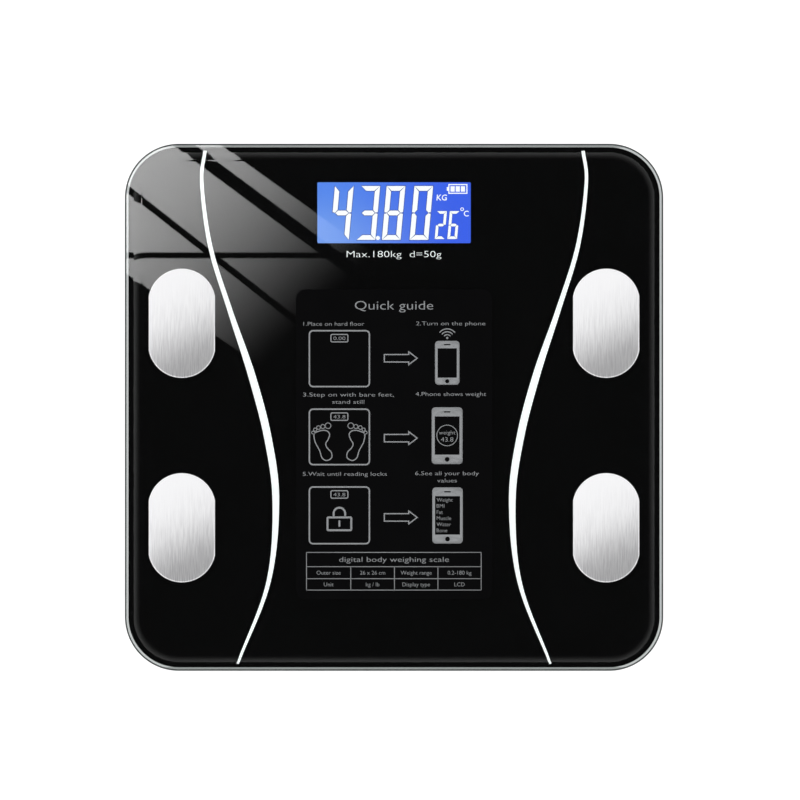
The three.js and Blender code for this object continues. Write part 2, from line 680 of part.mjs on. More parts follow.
for (const corner of CORNERS) {
  const { name, sx, sy } = corner;
  const place = [sx * FOOT.x, sy * FOOT.y, 0];
  const facing = sx > 0 ? 180 : 0;
  add(`electrode_${name}`, electrode(corner), STEEL());
  add(`electrode_nut_${name}`, electrodeNut(corner), ZINC());
  add(`electrode_lead_${name}`, electrodeLead(corner), BLACK_WIRE());
  add(`foot_pad_${name}`, footPad().translate(place), RUBBER());
  add(`foot_cup_${name}`, footCup().translate(place), BLACK_ABS());
  add(`load_cell_${name}`, loadCell().translate(place), SPRING_STEEL());
  add(`load_cell_holder_${name}`, loadCellHolder().rotate([0, 0, facing]).translate(place), HOLDER_ABS());
  add(`load_cell_cable_${name}`, loadCellCable(corner), WHITE_WIRE());
}

add('display_holder', displayHolder(), HOLDER_ABS());
add('lcd_panel', lcdPanel(), LCD_BLUE());
add('backlight', backlight(), DIFFUSER());
add('zebra_strip', zebraStrip(), ELASTOMER());
add('main_board', mainBoard(), BOARD_GREEN());
SCREW_PLACES.forEach((place, i) => add(`board_screw_${i + 1}`, boardScrew(place), ZINC()));
add('controller_chip', controllerChip(), EPOXY());
add('tact_switch', tactSwitch(), BLACK_ABS());
add('switch_plunger', switchPlunger(), BLACK_ABS());
add('unit_button', unitButton(), BLACK_ABS());

add('battery_cell_1', batteryCell(1), CELL_WRAP());
add('battery_cell_2', batteryCell(-1), CELL_WRAP());
add('contact_bridge', contactBridge(), SPRING_STEEL());
add('contact_negative', contactNegative(), SPRING_STEEL());
add('contact_positive', contactPositive(), SPRING_STEEL());
add('battery_lead_positive', wire(BATTERY_ROUTES.positive, WIRE_RADIUS), RED_WIRE());
add('battery_lead_negative', wire(BATTERY_ROUTES.negative, WIRE_RADIUS), BLACK_WIRE());
add('battery_cover', batteryCover(), BLACK_ABS());

export default scale;
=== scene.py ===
"""Looks of a digital bathroom scale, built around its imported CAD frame.

Sizes are millimetres in the frame's own axes: the origin is on the floor under the middle of the
glass, +X to the reader's right, +Y to the display end and +Z up. piece() turns them into metres.
"""
import json
import math

import bmesh
import bpy
import numpy as np
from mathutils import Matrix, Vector
from mathutils.geometry import tessellate_polygon


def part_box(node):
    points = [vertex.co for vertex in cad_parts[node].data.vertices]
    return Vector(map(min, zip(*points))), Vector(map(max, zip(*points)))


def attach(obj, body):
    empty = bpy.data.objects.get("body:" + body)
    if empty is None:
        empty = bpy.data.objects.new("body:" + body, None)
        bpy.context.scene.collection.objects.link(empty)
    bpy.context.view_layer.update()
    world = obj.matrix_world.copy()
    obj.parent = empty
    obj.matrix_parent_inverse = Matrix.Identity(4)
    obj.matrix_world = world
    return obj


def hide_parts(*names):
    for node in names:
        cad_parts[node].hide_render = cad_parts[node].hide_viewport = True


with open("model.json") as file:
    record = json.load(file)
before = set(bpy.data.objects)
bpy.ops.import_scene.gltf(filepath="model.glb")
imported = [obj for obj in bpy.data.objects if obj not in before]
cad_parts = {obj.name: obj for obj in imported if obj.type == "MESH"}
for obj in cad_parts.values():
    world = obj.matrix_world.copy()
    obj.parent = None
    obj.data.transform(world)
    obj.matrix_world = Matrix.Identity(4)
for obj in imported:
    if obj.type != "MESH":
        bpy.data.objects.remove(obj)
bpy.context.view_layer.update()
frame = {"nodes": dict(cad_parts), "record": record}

MM = 0.001


def node_box(node):
    """Lowest and highest corner of a CAD node, in millimetres."""
    return [np.array(corner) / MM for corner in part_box(node)]


# ---- Driving dimensions --------------------------------------------------------------------------
GLASS_LOW, GLASS_HIGH = node_box("glass_platform")
HALF_X, HALF_Y = GLASS_HIGH[:2]
Z_GLASS, Z_TOP = GLASS_LOW[2], GLASS_HIGH[2]
GLASS_RADIUS = 26
ARRIS = 0.7
RIM_DROP = 0.3
SHOULDER_START, SHOULDER_END = 4.2, 8.0

Z_PRINT_LOW, Z_PRINT = node_box("glass_back_print")[0][2], node_box("glass_back_print")[1][2]
PRINT_INSET = 1.7
WINDOW_HALF_X, WINDOW_HALF_Y, WINDOW_Y = 37.05, 14.7, 94
STUD_RADIUS, STUD_HOLE = 2, 3
STUD_BOTTOM = node_box("electrode_toe_left")[0][2]

ELECTRODE_X = 102.5
ELECTRODE_Y = {"toe": 40.6, "heel": -58.2}
ELECTRODE_HALF_X, ELECTRODE_HALF_Y, END_RADIUS = 16, 26.4, 16.3
ELECTRODE_TOP = node_box("electrode_toe_left")[1][2]
CROWN = 0.3

FOOT_X, FOOT_Y, FOOT_OPENING = 95, 92, 18.7
TRAY_LOW, TRAY_HIGH = node_box("base_tray")
TRAY_HALF_X, TRAY_HALF_Y = TRAY_HIGH[:2]
TRAY_RADIUS, TRAY_CORNER, TRAY_WALL, TRAY_FLOOR = 18, 2.4, 2, 2
Z_TRAY, Z_RIM = TRAY_LOW[2], 17.6
Z_FLOOR = Z_TRAY + TRAY_FLOOR
LEDGE_WIDTH, LEDGE_HEIGHT = 5, 2

BUTTON_X, BUTTON_Y, BUTTON_OPENING = 26, 84, 5
WELL_X, WELL_Y, WELL_HALF_X, WELL_HALF_Y, WELL_WALL, WELL_TOP = 0, 20, 26, 12, 1.6, 18
CELL_RADIUS, CELL_LENGTH, CELL_PITCH, CELL_Z = 5.25, 44.5, 11.5, 12
CONTACT_THICKNESS, CONTACT_SIZE, COIL_WIRE, COIL_TURNS = 0.5, 9, 0.4, 3
WIRE_RADIUS, CABLE_RADIUS = 0.8, 1.1

LABEL_LOW, LABEL_HIGH = node_box("instruction_label")
LABEL_RADIUS = 4.5
ART_THICKNESS = 0.02

CORNERS = [("toe_left", "toe", -1, 1), ("toe_right", "toe", 1, 1),
           ("heel_left", "heel", -1, -1), ("heel_right", "heel", 1, -1)]

# Wire routes on the right-hand side, from the far end to the board. The left side mirrors them.
ELECTRODE_ROUTES = {
    "toe": [(94.5, 40.6, 17), (82, 45, 16), (62, 51, 14.5), (44, 57, 13.8), (35, 61.5, 13.4), (34, 67, 13.3)],
    "heel": [(94.5, -58.2, 17), (84, -46, 15.5), (68, -10, 14), (52, 20, 13.5), (41, 44, 13.4),
             (29, 58, 13.4), (27, 67, 13.3)],
}
CELL_CABLE_ROUTES = {
    "toe": [(83, 92, 13.8), (72.5, 92, 13.8), (61, 85, 13.6), (54, 73, 13.6), (49, 67.5, 13.7),
            (43.5, 66.5, 13.7)],
    "heel": [(83, -92, 13.8), (72.5, -92, 13.8), (60, -78, 12), (51, -40, 11.5), (45, 0, 11.5),
             (39, 36, 12), (25, 54, 13.2), (20, 67, 13.7)],
}
BATTERY_ROUTES = {
    "positive": [(26.3, 14.25, 15), (29, 14.25, 15), (34, 22, 14), (33, 36, 13.6), (22, 50, 13.4),
                 (14, 60, 13.3), (13, 67, 13.3)],
    "negative": [(26.3, 25.75, 15), (29, 25.75, 15), (30, 33, 14), (20, 44, 13.5), (8, 56, 13.4),
                 (6, 67, 13.3)],
}

# Left white stripe: middle line (x, y) and width, from the display end to the heel end.
STRIPE = [(-91.3, 123.9, 1.6), (-92.9, 108.7, 1.6), (-88.8, 77.8, 2.0), (-79.3, 46.9, 2.4),
          (-68.9, 15.9, 3.5), (-60.9, -15.0, 3.6), (-57.1, -45.9, 3.2), (-60.7, -84.6, 2.0),
          (-75.6, -123.9, 1.1)]


# ---- Outlines and curves -------------------------------------------------------------------------
def circle(radius, centre=(0, 0), steps=64):
    """Points at equal angles on a circle, anticlockwise."""
    angle = np.arange(steps) * 2 * math.pi / steps
    return np.column_stack([centre[0] + radius * np.cos(angle), centre[1] + radius * np.sin(angle)])


def rounded(half_x, half_y, radius, centre=(0, 0), steps=10):
    """A rounded rectangle: four quarter circles about the corner centres, run anticlockwise."""
    turn = np.linspace(0, math.pi / 2, steps + 1)
    angle = (np.arange(4)[:, None] * math.pi / 2 + turn).ravel()
    corner_x = np.repeat([1, -1, -1, 1], steps + 1) * (half_x - radius)
    corner_y = np.repeat([1, 1, -1, -1], steps + 1) * (half_y - radius)
    return np.column_stack([centre[0] + corner_x + radius * np.cos(angle),
                            centre[1] + corner_y + radius * np.sin(angle)])


def rectangle(x_low, x_high, y_low, y_high):
    """The four corners of a plain rectangle, anticlockwise."""
    return np.array([(x_high, y_high), (x_low, y_high), (x_low, y_low), (x_high, y_low)], float)


def glass_outline(inset):
    """The platform's rounded outline, drawn in by inset."""
    return rounded(HALF_X - inset, HALF_Y - inset, GLASS_RADIUS - inset, steps=32)


def tray_outline(inset):
    """The tray's rounded outline, drawn in by inset."""
    return rounded(TRAY_HALF_X - inset, TRAY_HALF_Y - inset, TRAY_RADIUS - inset, steps=24)


def electrode_outline(inset):
    """Two flat arcs joined by straight sides: a circle of END_RADIUS cut off at the side's width."""
    radius = END_RADIUS - inset
    reach = math.asin((ELECTRODE_HALF_X - inset) / radius)
    angle = np.linspace(math.pi / 2 - reach, math.pi / 2 + reach, 33)
    middle = ELECTRODE_HALF_Y - END_RADIUS
    end = np.column_stack([radius * np.cos(angle), middle + radius * np.sin(angle)])
    return np.vstack([end, -end])


def smooth_path(points, steps, closed=False):
    """A Catmull-Rom curve through the points, steps to a span."""
    given = np.array(points, float)
    if closed:
        padded = np.vstack([given[-1], given, given[:2]])
    else:
        padded = np.vstack([2 * given[0] - given[1], given, 2 * given[-1] - given[-2]])
    before, start, end, after = (padded[i:len(padded) - 3 + i, None] for i in range(4))
    t = np.linspace(0, 1, steps, endpoint=False)[:, None]
    spans = 0.5 * (2 * start + (end - before) * t + (2 * before - 5 * start + 4 * end - after) * t ** 2
                   + (3 * start - before - 3 * end + after) * t ** 3)
    curve = spans.reshape(-1, given.shape[1])
    return curve if closed else np.vstack([curve, given[-1]])


def lifted(outline, z):
    """A flat outline in space, at height z: one number, or one for each point."""
    return np.column_stack([outline, np.broadcast_to(z, len(outline))])


# ---- Surfaces ------------------------------------------------------------------------------------
class Shell:
    """Grids of points and their faces, gathered for one piece."""

    def __init__(self):
        self.points = []
        self.faces = []
        self.count = 0

    def add(self, points, faces):
        """Adds points (n, 3) and faces that count from this call's first point."""
        self.points.append(np.asarray(points, float))
        self.faces.extend((np.asarray(face) + self.count).tolist() for face in faces)
        self.count += len(points)
        return self

    def loft(self, rings, caps=True, looped=False):
        """Quads between rings of equal count; caps close both ends, or looped joins last to first."""
        grid = np.array(rings)
        levels, around = grid.shape[:2]
        last = levels if looped else levels - 1
        level, point = np.meshgrid(np.arange(last), np.arange(around), indexing="ij")
        here, right = level * around + point, level * around + (point + 1) % around
        step = (level + 1) % levels * around
        quads = np.stack([here, right, step + (point + 1) % around, step + point], -1).reshape(-1, 4)
        faces = list(quads)
        if caps and not looped:
            faces += [np.arange(around)[::-1], (levels - 1) * around + np.arange(around)]
        return self.add(grid.reshape(-1, 3), faces)

    def deck(self, outline, z, holes=()):
        """A flat face at height z with round or square holes, cut into triangles."""
        loops = [lifted(loop, z) for loop in (outline, *holes)]
        triangles = tessellate_polygon([[Vector(point) for point in loop] for loop in loops])
        return self.add(np.vstack(loops), triangles)

    def plate(self, outline, low, high, holes=()):
        """A flat plate between two heights, with straight-walled holes right through it."""
        for z in (low, high):
            self.deck(outline, z, holes)
        for loop in (outline, *holes):
            self.loft([lifted(loop, low), lifted(loop, high)], caps=False)
        return self

    def slab(self, outline_at, low, high, chamfer):
        """A plate whose top and bottom edges are chamfered; outline_at gives the outline at an inset."""
        levels = [(low, chamfer), (low + chamfer, 0), (high - chamfer, 0), (high, chamfer)]
        return self.loft([lifted(outline_at(inset), z) for z, inset in levels])

    def box(self, x_low, x_high, y_low, y_high, low, high, chamfer=0.15):
        """A box with a small chamfer on its top and bottom edges."""
        return self.slab(
            lambda inset: rectangle(x_low + inset, x_high - inset, y_low + inset, y_high - inset),
            low, high, chamfer)

    def lathe(self, profile, centre=(0, 0), steps=64):
        """A profile of (radius, z) turned about a vertical line."""
        return self.loft([lifted(circle(radius, centre, steps), z) for radius, z in profile], caps=False)

    def tube(self, path, radius, sides=12):
        """A round section carried along a path: across is Z x tangent, and the third axis completes it."""
        path = np.asarray(path, float)
        tangent = np.gradient(path, axis=0)
        tangent /= np.linalg.norm(tangent, axis=1)[:, None]
        across = np.cross((0, 0, 1), tangent)
        across /= np.linalg.norm(across, axis=1)[:, None]
        rising = np.cross(tangent, across)
        angle = (np.arange(sides) * 2 * math.pi / sides)[None, :, None]
        rings = path[:, None] + radius * (np.cos(angle) * across[:, None] + np.sin(angle) * rising[:, None])
        return self.loft(rings)


def piece(name, shell, body, look, stands_for=(), sharp=30):
    """One closed piece from a shell: doubles merged, faces turned outwards, shaded smooth."""
    mesh = bpy.data.meshes.new(name)
    mesh.from_pydata((np.vstack(shell.points) * MM).tolist(), [], shell.faces)
    form = bmesh.new()
    form.from_mesh(mesh)
    bmesh.ops.remove_doubles(form, verts=form.verts, dist=1e-6)
    bmesh.ops.recalc_face_normals(form, faces=form.faces)
    form.to_mesh(mesh)
    form.free()
    return finished(name, mesh, body, look, stands_for, sharp)


def finished(name, mesh, body, look, stands_for=(), sharp=30):
    """Puts a mesh in the scene as a piece that rides on a body and may stand for CAD nodes."""
    mesh.polygons.foreach_set("use_smooth", np.ones(len(mesh.polygons), bool))
    mesh.set_sharp_from_angle(angle=math.radians(sharp))
    mesh.materials.append(look)
    made = bpy.data.objects.new(name, mesh)
    bpy.context.scene.collection.objects.link(made)
    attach(made, body)
    if stands_for:
        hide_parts(*stands_for)
    return made


# ---- Flat art: printed lines, fills and lettering ------------------------------------------------
FONT_CAPITAL, FONT_WEIGHT = 0.729, -0.007


class Art:
    """Flat printed shapes at one height, gathered for one piece."""

    def __init__(self):
        self.shell = Shell()

    def fill(self, outline, holes=()):
        """A filled outline with holes left clear."""
        self.shell.deck(np.asarray(outline, float), 0, [np.asarray(hole, float) for hole in holes])
        return self

    def line(self, points, width, closed=False):
        """A line of even width: each point is moved to both sides along its mitred normal."""
        path = np.asarray(points, float)
        ahead = np.roll(path, -1, 0) - path
        behind = path - np.roll(path, 1, 0)
        if not closed:
            ahead[-1] = behind[-1]
            behind[0] = ahead[0]
        ahead /= np.linalg.norm(ahead, axis=1)[:, None]
        behind /= np.linalg.norm(behind, axis=1)[:, None]
        along = ahead + behind
        along /= np.linalg.norm(along, axis=1)[:, None]
        normal = np.column_stack([-along[:, 1], along[:, 0]])
        mitre = np.maximum(np.sum(along * ahead, 1), 0.4)[:, None]
        side = normal * width / 2 / mitre
        count = len(path)
        last = count if closed else count - 1
        here = np.arange(last)
        following = (here + 1) % count
        quads = np.column_stack([here + count, following + count, following, here])
        self.shell.add(lifted(np.vstack([path + side, path - side]), 0), quads)
        return self

    def words(self, text, x, baseline, capital, width=None, centred=False, slant=0, weight=FONT_WEIGHT):
        """Lettering with capitals of the given height, squeezed to a width, from x or centred on it.
        A negative weight thins the strokes."""
        curve = bpy.data.curves.new("words", "FONT")
        curve.body = text
        curve.resolution_u = 3
        curve.offset = weight
        drawn = bpy.data.objects.new("words", curve)
        mesh = bpy.data.meshes.new_from_object(drawn)
        points = np.zeros(len(mesh.vertices) * 3)
        mesh.vertices.foreach_get("co", points)
        points = points.reshape(-1, 3)
        points[:, :2] *= capital / FONT_CAPITAL
        low, high = points[:, 0].min(), points[:, 0].max()
        if width:
            points[:, 0] = (points[:, 0] - low) * width / (high - low)
            low, high = 0, width
        points[:, 0] += points[:, 1] * slant - low + x - (high - low) / 2 * centred
        points[:, 1] += baseline
        points[:, 2] = 0
        self.shell.add(points, [list(face.vertices) for face in mesh.polygons])
        bpy.data.objects.remove(drawn)
        bpy.data.curves.remove(curve)
        bpy.data.meshes.remove(mesh)
        return self

    def piece(self, name, z, body, look, slot=None, thickness=ART_THICKNESS):
        """Lays the art at height z, facing up, and gives it a printed layer's thickness."""
        mesh = bpy.data.meshes.new(name)
        points = np.vstack(self.shell.points) + (0, 0, z)
        mesh.from_pydata((points * MM).tolist(), [], self.shell.faces)
        form = bmesh.new()
        form.from_mesh(mesh)
        bmesh.ops.remove_doubles(form, verts=form.verts, dist=1e-7)
        form.normal_update()
        bmesh.ops.reverse_faces(form, faces=[face for face in form.faces if face.normal.z < 0])
        form.to_mesh(mesh)
        form.free()
        made = finished(name, mesh, body, look)
        layer = made.modifiers.new("layer", "SOLIDIFY")
        layer.thickness = thickness * MM
        layer.offset = 1
        return made


# ---- Shader language -----------------------------------------------------------------------------
class Signal:
    """A shader socket that takes part in arithmetic: each operator adds its Math node."""

    def __init__(self, paint, socket):
        self.paint = paint
        self.socket = socket

    def __add__(self, other):
        return self.paint.maths("ADD", self, other)

    def __sub__(self, other):
        return self.paint.maths("SUBTRACT", self, other)

    def __rsub__(self, other):
        return self.paint.maths("SUBTRACT", other, self)

    def __mul__(self, other):
        return self.paint.maths("MULTIPLY", self, other)

    __radd__ = __add__
    __rmul__ = __mul__


class Paint:
    """A node tree being written. node() adds any node and hands back one output as a Signal."""

    def __init__(self, tree):
        self.tree = tree
        tree.nodes.clear()

    def node(self, kind, settings=None, sockets=None, output=0):
        """Adds a node: its settings first, then the values or links of its sockets."""
        made = self.tree.nodes.new(kind)
        for name, value in (settings or {}).items():
            setattr(made, name, value)
        for key, value in (sockets or {}).items():
            if isinstance(value, Signal):
                self.tree.links.new(value.socket, made.inputs[key])
            else:
                made.inputs[key].default_value = value
        return Signal(self, made.outputs[output]) if made.outputs else None

    def maths(self, operation, *values):
        """One Math node's operation on one or two values."""
        return self.node("ShaderNodeMath", {"operation": operation}, dict(enumerate(values)))

    def place(self, scale=(1, 1, 1), offset=(0, 0, 0)):
        """Object coordinates, stretched and moved."""
        coords = self.node("ShaderNodeTexCoord", output="Object")
        return self.node("ShaderNodeMapping", None,
                         {"Vector": coords, "Scale": scale, "Location": offset})

    def axes(self):
        """Object X, Y and Z in metres, as three signals."""
        split = self.node("ShaderNodeSeparateXYZ", None, {0: self.place()})
        return [Signal(self, split.socket.node.outputs[axis]) for axis in range(3)]

    def noise(self, size, detail=3, stretch=(1, 1, 1)):
        """Soft noise whose grains are size millimetres across."""
        return self.node("ShaderNodeTexNoise", None,
                         {"Vector": self.place(stretch), "Scale": 1 / (size * MM), "Detail": detail},
                         output="Fac")

    def ramp(self, value, low, high, to_low=0.0, to_high=1.0):
        """value taken smoothly from low..high to to_low..to_high and held beyond them."""
        return self.node("ShaderNodeMapRange", {"interpolation_type": "SMOOTHSTEP"},
                         {"Value": value, "From Min": low, "From Max": high,
                          "To Min": to_low, "To Max": to_high})

    def mix(self, first, second, factor):
        """A colour between first and second."""
        return self.node("ShaderNodeMix", {"data_type": "RGBA"},
                         {0: factor, 6: rgba(first), 7: rgba(second)}, output=2)


def rgba(colour):
    """A colour with its alpha, or a link left as it is."""
    return colour if isinstance(colour, Signal) else (*colour, 1)


def surface(name, write):
    """A material: write(paint) returns the Principled sockets, with height and depth for a bump."""
    look = bpy.data.materials.new(name)
    look.use_nodes = True
    paint = Paint(look.node_tree)
    sockets = write(paint)
    height = sockets.pop("height", None)
    depth = sockets.pop("depth", 0)
    if height is not None:
        sockets["Normal"] = paint.node("ShaderNodeBump", None,
                                       {"Strength": 1.0, "Distance": depth * MM, "Height": height})
    shader = paint.node("ShaderNodeBsdfPrincipled", None, sockets)
    paint.node("ShaderNodeOutputMaterial", None, {"Surface": shader})
    return look


# ---- Materials -----------------------------------------------------------------------------------
def clear_glass(paint):
    """Float glass: faint green, polished, with hardly any haze."""
    haze = paint.noise(45, detail=2)
    return {"Base Color": (0.95, 0.985, 0.975, 1), "Roughness": haze * 0.004,
            "IOR": 1.52, "Transmission Weight": 1.0}


def seamed_edge(paint):
    """The ground arrises, frosted; their near-black colour is painted shade, so they read as a dark rim line
    around the clear body.
    """
    grind = paint.noise(0.3, detail=3)
    # painted shade: the arris is coloured near-black
    return {"Base Color": paint.mix((0.03, 0.035, 0.034), (0.06, 0.07, 0.068), grind),
            "Roughness": grind * 0.2 + 0.45, "Specular IOR Level": 0.2, "height": grind, "depth": 0.01}


def edge_glass(paint):
    """The clear body between the arris and the ink, seen through its full depth; its dark grey tint is
    painted shade that dims the band.
    """
    haze = paint.noise(20, detail=2)
    # painted shade: a tint far darker than the clear glass of the same depth
    return {"Base Color": paint.mix((0.28, 0.30, 0.295), (0.33, 0.35, 0.345), haze),
            "Roughness": haze * 0.004, "IOR": 1.52, "Transmission Weight": 1.0}


def satin_edge(paint):
    """The upright edge, ground and then lightly polished: it passes light but blurs it."""
    grind = paint.noise(0.4, detail=3)
    return {"Base Color": paint.mix((0.62, 0.68, 0.66), (0.74, 0.80, 0.78), grind),
            "Roughness": grind * 0.15 + 0.20, "IOR": 1.52, "Transmission Weight": 1.0}


def black_ink(paint):
    """Ceramic ink behind the glass: deep black with a trace of pinholes and cloud."""
    cloud = paint.noise(20, detail=4)
    return {"Base Color": paint.mix((0.0010, 0.0010, 0.0011), (0.0022, 0.0022, 0.0024), cloud),
            "Roughness": cloud * 0.2 + 0.5, "Specular IOR Level": 0.0}


def white_ink(paint):
    """White ceramic ink: a screen-printed, slightly uneven layer that also glows in its own colour, as
    painted light that keeps it bright under the glass.
    """
    weave = paint.noise(0.6, detail=2)
    tone = paint.mix((0.86, 0.87, 0.87), (0.94, 0.94, 0.94), weave)
    # painted light: the ink glows at 0.75 of its own colour
    return {"Base Color": tone, "Roughness": weave * 0.2 + 0.4, "Emission Color": tone,
            "Emission Strength": 0.75, "Specular IOR Level": 0.1}


def label_film(paint):
    """Thin satin film, a shade paler than the ink around it."""
    grain = paint.noise(0.35, detail=2)
    cloud = paint.noise(14, detail=3)
    return {"Base Color": paint.mix((0.0020, 0.0020, 0.0022), (0.0030, 0.0030, 0.0033), cloud),
            "Roughness": grain * 0.2 + 0.45, "Specular IOR Level": 0.02,
            "height": grain, "depth": 0.003}


def label_print(paint):
    """Grey print on the film, with the mottle of a thin ink."""
    mottle = paint.noise(0.5, detail=3)
    return {"Base Color": paint.mix((0.27, 0.28, 0.29), (0.38, 0.39, 0.40), mottle),
            "Roughness": mottle * 0.2 + 0.5, "Specular IOR Level": 0.1}


def brushed_steel(paint):
    """Stainless steel brushed from toe to heel: long thin grooves. Each plate carries painted shade:
    its colour darkens evenly from its upper left to its lower right, and its roughness falls the same way."""
    x, y, _ = paint.axes()
    plate_x = x - paint.maths("SIGN", x) * (ELECTRODE_X * MM)
    toe = paint.maths("GREATER_THAN", y, (ELECTRODE_Y["toe"] + ELECTRODE_Y["heel"]) / 2 * MM)
    plate_y = y - toe * ((ELECTRODE_Y["toe"] - ELECTRODE_Y["heel"]) * MM) - ELECTRODE_Y["heel"] * MM
    # painted shade: 0 at each plate's upper left and 1 at its lower right; it darkens the colour and lowers
    # the roughness
    painted_shade_and_polish = paint.ramp(plate_x * 0.45 - plate_y, -24 * MM, 24 * MM)
    grooves = paint.noise(0.12, detail=3, stretch=(1, 0.012, 1))
    streaks = paint.noise(0.45, detail=3, stretch=(1, 0.05, 1))
    worn = paint.ramp(streaks, 0.28, 0.72)
    # the colour's darkening towards each plate's lower right is painted shade
    tone = paint.mix((0.99, 0.99, 1.0), (0.66, 0.655, 0.67), (painted_shade_and_polish * 0.9 + 0.05) * worn)
    return {"Base Color": tone, "Metallic": 1.0,
            "Roughness": grooves * 0.06 + streaks * painted_shade_and_polish * 0.10 - painted_shade_and_polish * 0.38 + 0.60,
            "height": grooves, "depth": 0.003}


def spring_steel(paint):
    """Nickel-plated spring steel: rolled, faintly mottled."""
    rolled = paint.noise(0.5, detail=3, stretch=(1, 0.1, 1))
    stain = paint.noise(7, detail=3)
    return {"Base Color": paint.mix((0.42, 0.43, 0.44), (0.60, 0.60, 0.60), stain), "Metallic": 1.0,
            "Roughness": rolled * 0.2 + 0.25, "height": rolled, "depth": 0.004}


def zinc(paint):
    """Zinc plating: dull spangles with a warm cast."""
    spangle = paint.noise(0.8, detail=4)
    return {"Base Color": paint.mix((0.46, 0.46, 0.43), (0.66, 0.66, 0.63), spangle), "Metallic": 1.0,
            "Roughness": spangle * 0.25 + 0.3, "height": spangle, "depth": 0.006}


def black_abs(paint):
    """Moulded black ABS with a fine spark grain and slow cloud of gloss."""
    grain = paint.noise(0.45, detail=3)
    cloud = paint.noise(25, detail=3)
    return {"Base Color": paint.mix((0.012, 0.012, 0.013), (0.022, 0.022, 0.023), grain),
            "Roughness": cloud * 0.12 + grain * 0.1 + 0.42, "height": grain, "depth": 0.03}


def white_abs(paint):
    """Natural ABS of the hidden holders, with flow marks."""
    flow = paint.noise(6, detail=4, stretch=(1, 0.4, 1))
    return {"Base Color": paint.mix((0.66, 0.65, 0.60), (0.80, 0.79, 0.75), flow),
            "Roughness": flow * 0.2 + 0.4, "height": flow, "depth": 0.02}


def foot_rubber(paint):
    """Soft rubber: matt, dusty on its high spots."""
    dust = paint.noise(1.2, detail=5)
    return {"Base Color": paint.mix((0.018, 0.018, 0.019), (0.055, 0.054, 0.052), dust),
            "Roughness": dust * 0.15 + 0.75, "height": dust, "depth": 0.03}


def foam_tape(paint):
    """Closed-cell foam: small pits in an off-white ground."""
    cells = paint.node("ShaderNodeTexVoronoi", None,
                       {"Vector": paint.place(), "Scale": 1 / (0.4 * MM)}, output="Distance")
    return {"Base Color": paint.mix((0.78, 0.77, 0.72), (0.88, 0.87, 0.84), cells),
            "Roughness": 0.9, "height": cells, "depth": 0.05}


LCD_TOP_LEFT = (0.102, 0.266, 0.922)
LCD_BOTTOM_LEFT = (0.202, 0.381, 0.939)
LCD_RIGHT = (0.048, 0.130, 0.896)


def lcd_face(paint):
    """The backlit face: palest at the lower left, where the light guide is fed, deep blue on the right."""
    x, y, _ = paint.axes()
    across = paint.ramp(x, -WINDOW_HALF_X * MM, WINDOW_HALF_X * 0.9 * MM)
    down = paint.ramp(y, (WINDOW_Y - WINDOW_HALF_Y) * MM, (WINDOW_Y + WINDOW_HALF_Y) * MM)
    left = paint.mix(LCD_BOTTOM_LEFT, LCD_TOP_LEFT, down)
    return {"Base Color": (0.01, 0.01, 0.012, 1), "Roughness": 0.3, "Specular IOR Level": 0.1,
            "Emission Color": paint.mix(left, LCD_RIGHT, across), "Emission Strength": 1.0}


def lcd_segment(paint):
    """Lit segments: white with a trace of the blue around them."""
    fine = paint.noise(0.5, detail=2)
    return {"Base Color": (0.02, 0.02, 0.02, 1), "Roughness": 0.4, "Specular IOR Level": 0.1,
            "Emission Color": paint.mix((0.92, 0.95, 1.0), (1.0, 1.0, 1.0), fine),
            "Emission Strength": 1.15}


def lcd_shade(paint):
    """The dark hairline that the liquid crystal leaves between and around lit segments."""
    fine = paint.noise(0.5, detail=2)
    return {"Base Color": (0.01, 0.01, 0.02, 1), "Roughness": 0.4, "Specular IOR Level": 0.1,
            "Emission Color": paint.mix((0.020, 0.040, 0.22), (0.030, 0.055, 0.28), fine),
            "Emission Strength": 1.0}


def lcd_stack(paint):
    """The panel's glass edges, dark with a green cast."""
    cloud = paint.noise(8, detail=2)
    return {"Base Color": paint.mix((0.02, 0.03, 0.028), (0.04, 0.055, 0.05), cloud), "Roughness": 0.15}


def diffuser(paint):
    """Milky light guide with rows of scattering dots on it."""
    dots = paint.node("ShaderNodeTexVoronoi", None,
                      {"Vector": paint.place(), "Scale": 1 / (1.1 * MM), "Randomness": 0.0},
                      output="Distance")
    return {"Base Color": paint.mix((0.90, 0.93, 0.98), (0.70, 0.75, 0.85), dots),
            "Roughness": 0.25, "height": dots, "depth": 0.05}


def elastomer(paint):
    """Thin dark and pale bands across the strip that joins the panel to the board."""
    bands = paint.node("ShaderNodeTexWave", {"wave_type": "BANDS", "bands_direction": "X"},
                       {"Vector": paint.place(), "Scale": 1 / (0.9 * MM)}, output="Fac")
    return {"Base Color": paint.mix((0.80, 0.55, 0.45), (0.05, 0.045, 0.04), bands), "Roughness": 0.7}


def board_green(paint):
    """Green solder mask over woven glass, with copper showing darker through it."""
    weave = paint.noise(0.9, detail=2)
    copper = paint.ramp(paint.noise(6, detail=1), 0.48, 0.52)
    return {"Base Color": paint.mix((0.012, 0.085, 0.030), (0.020, 0.150, 0.055), copper),
            "Roughness": weave * 0.15 + 0.25, "height": weave, "depth": 0.01}


def black_epoxy(paint):
    """A glossy poured drop with slight flow ripples."""
    ripple = paint.noise(3, detail=2)
    return {"Base Color": (0.006, 0.006, 0.006, 1), "Roughness": ripple * 0.1 + 0.1,
            "height": ripple, "depth": 0.05}


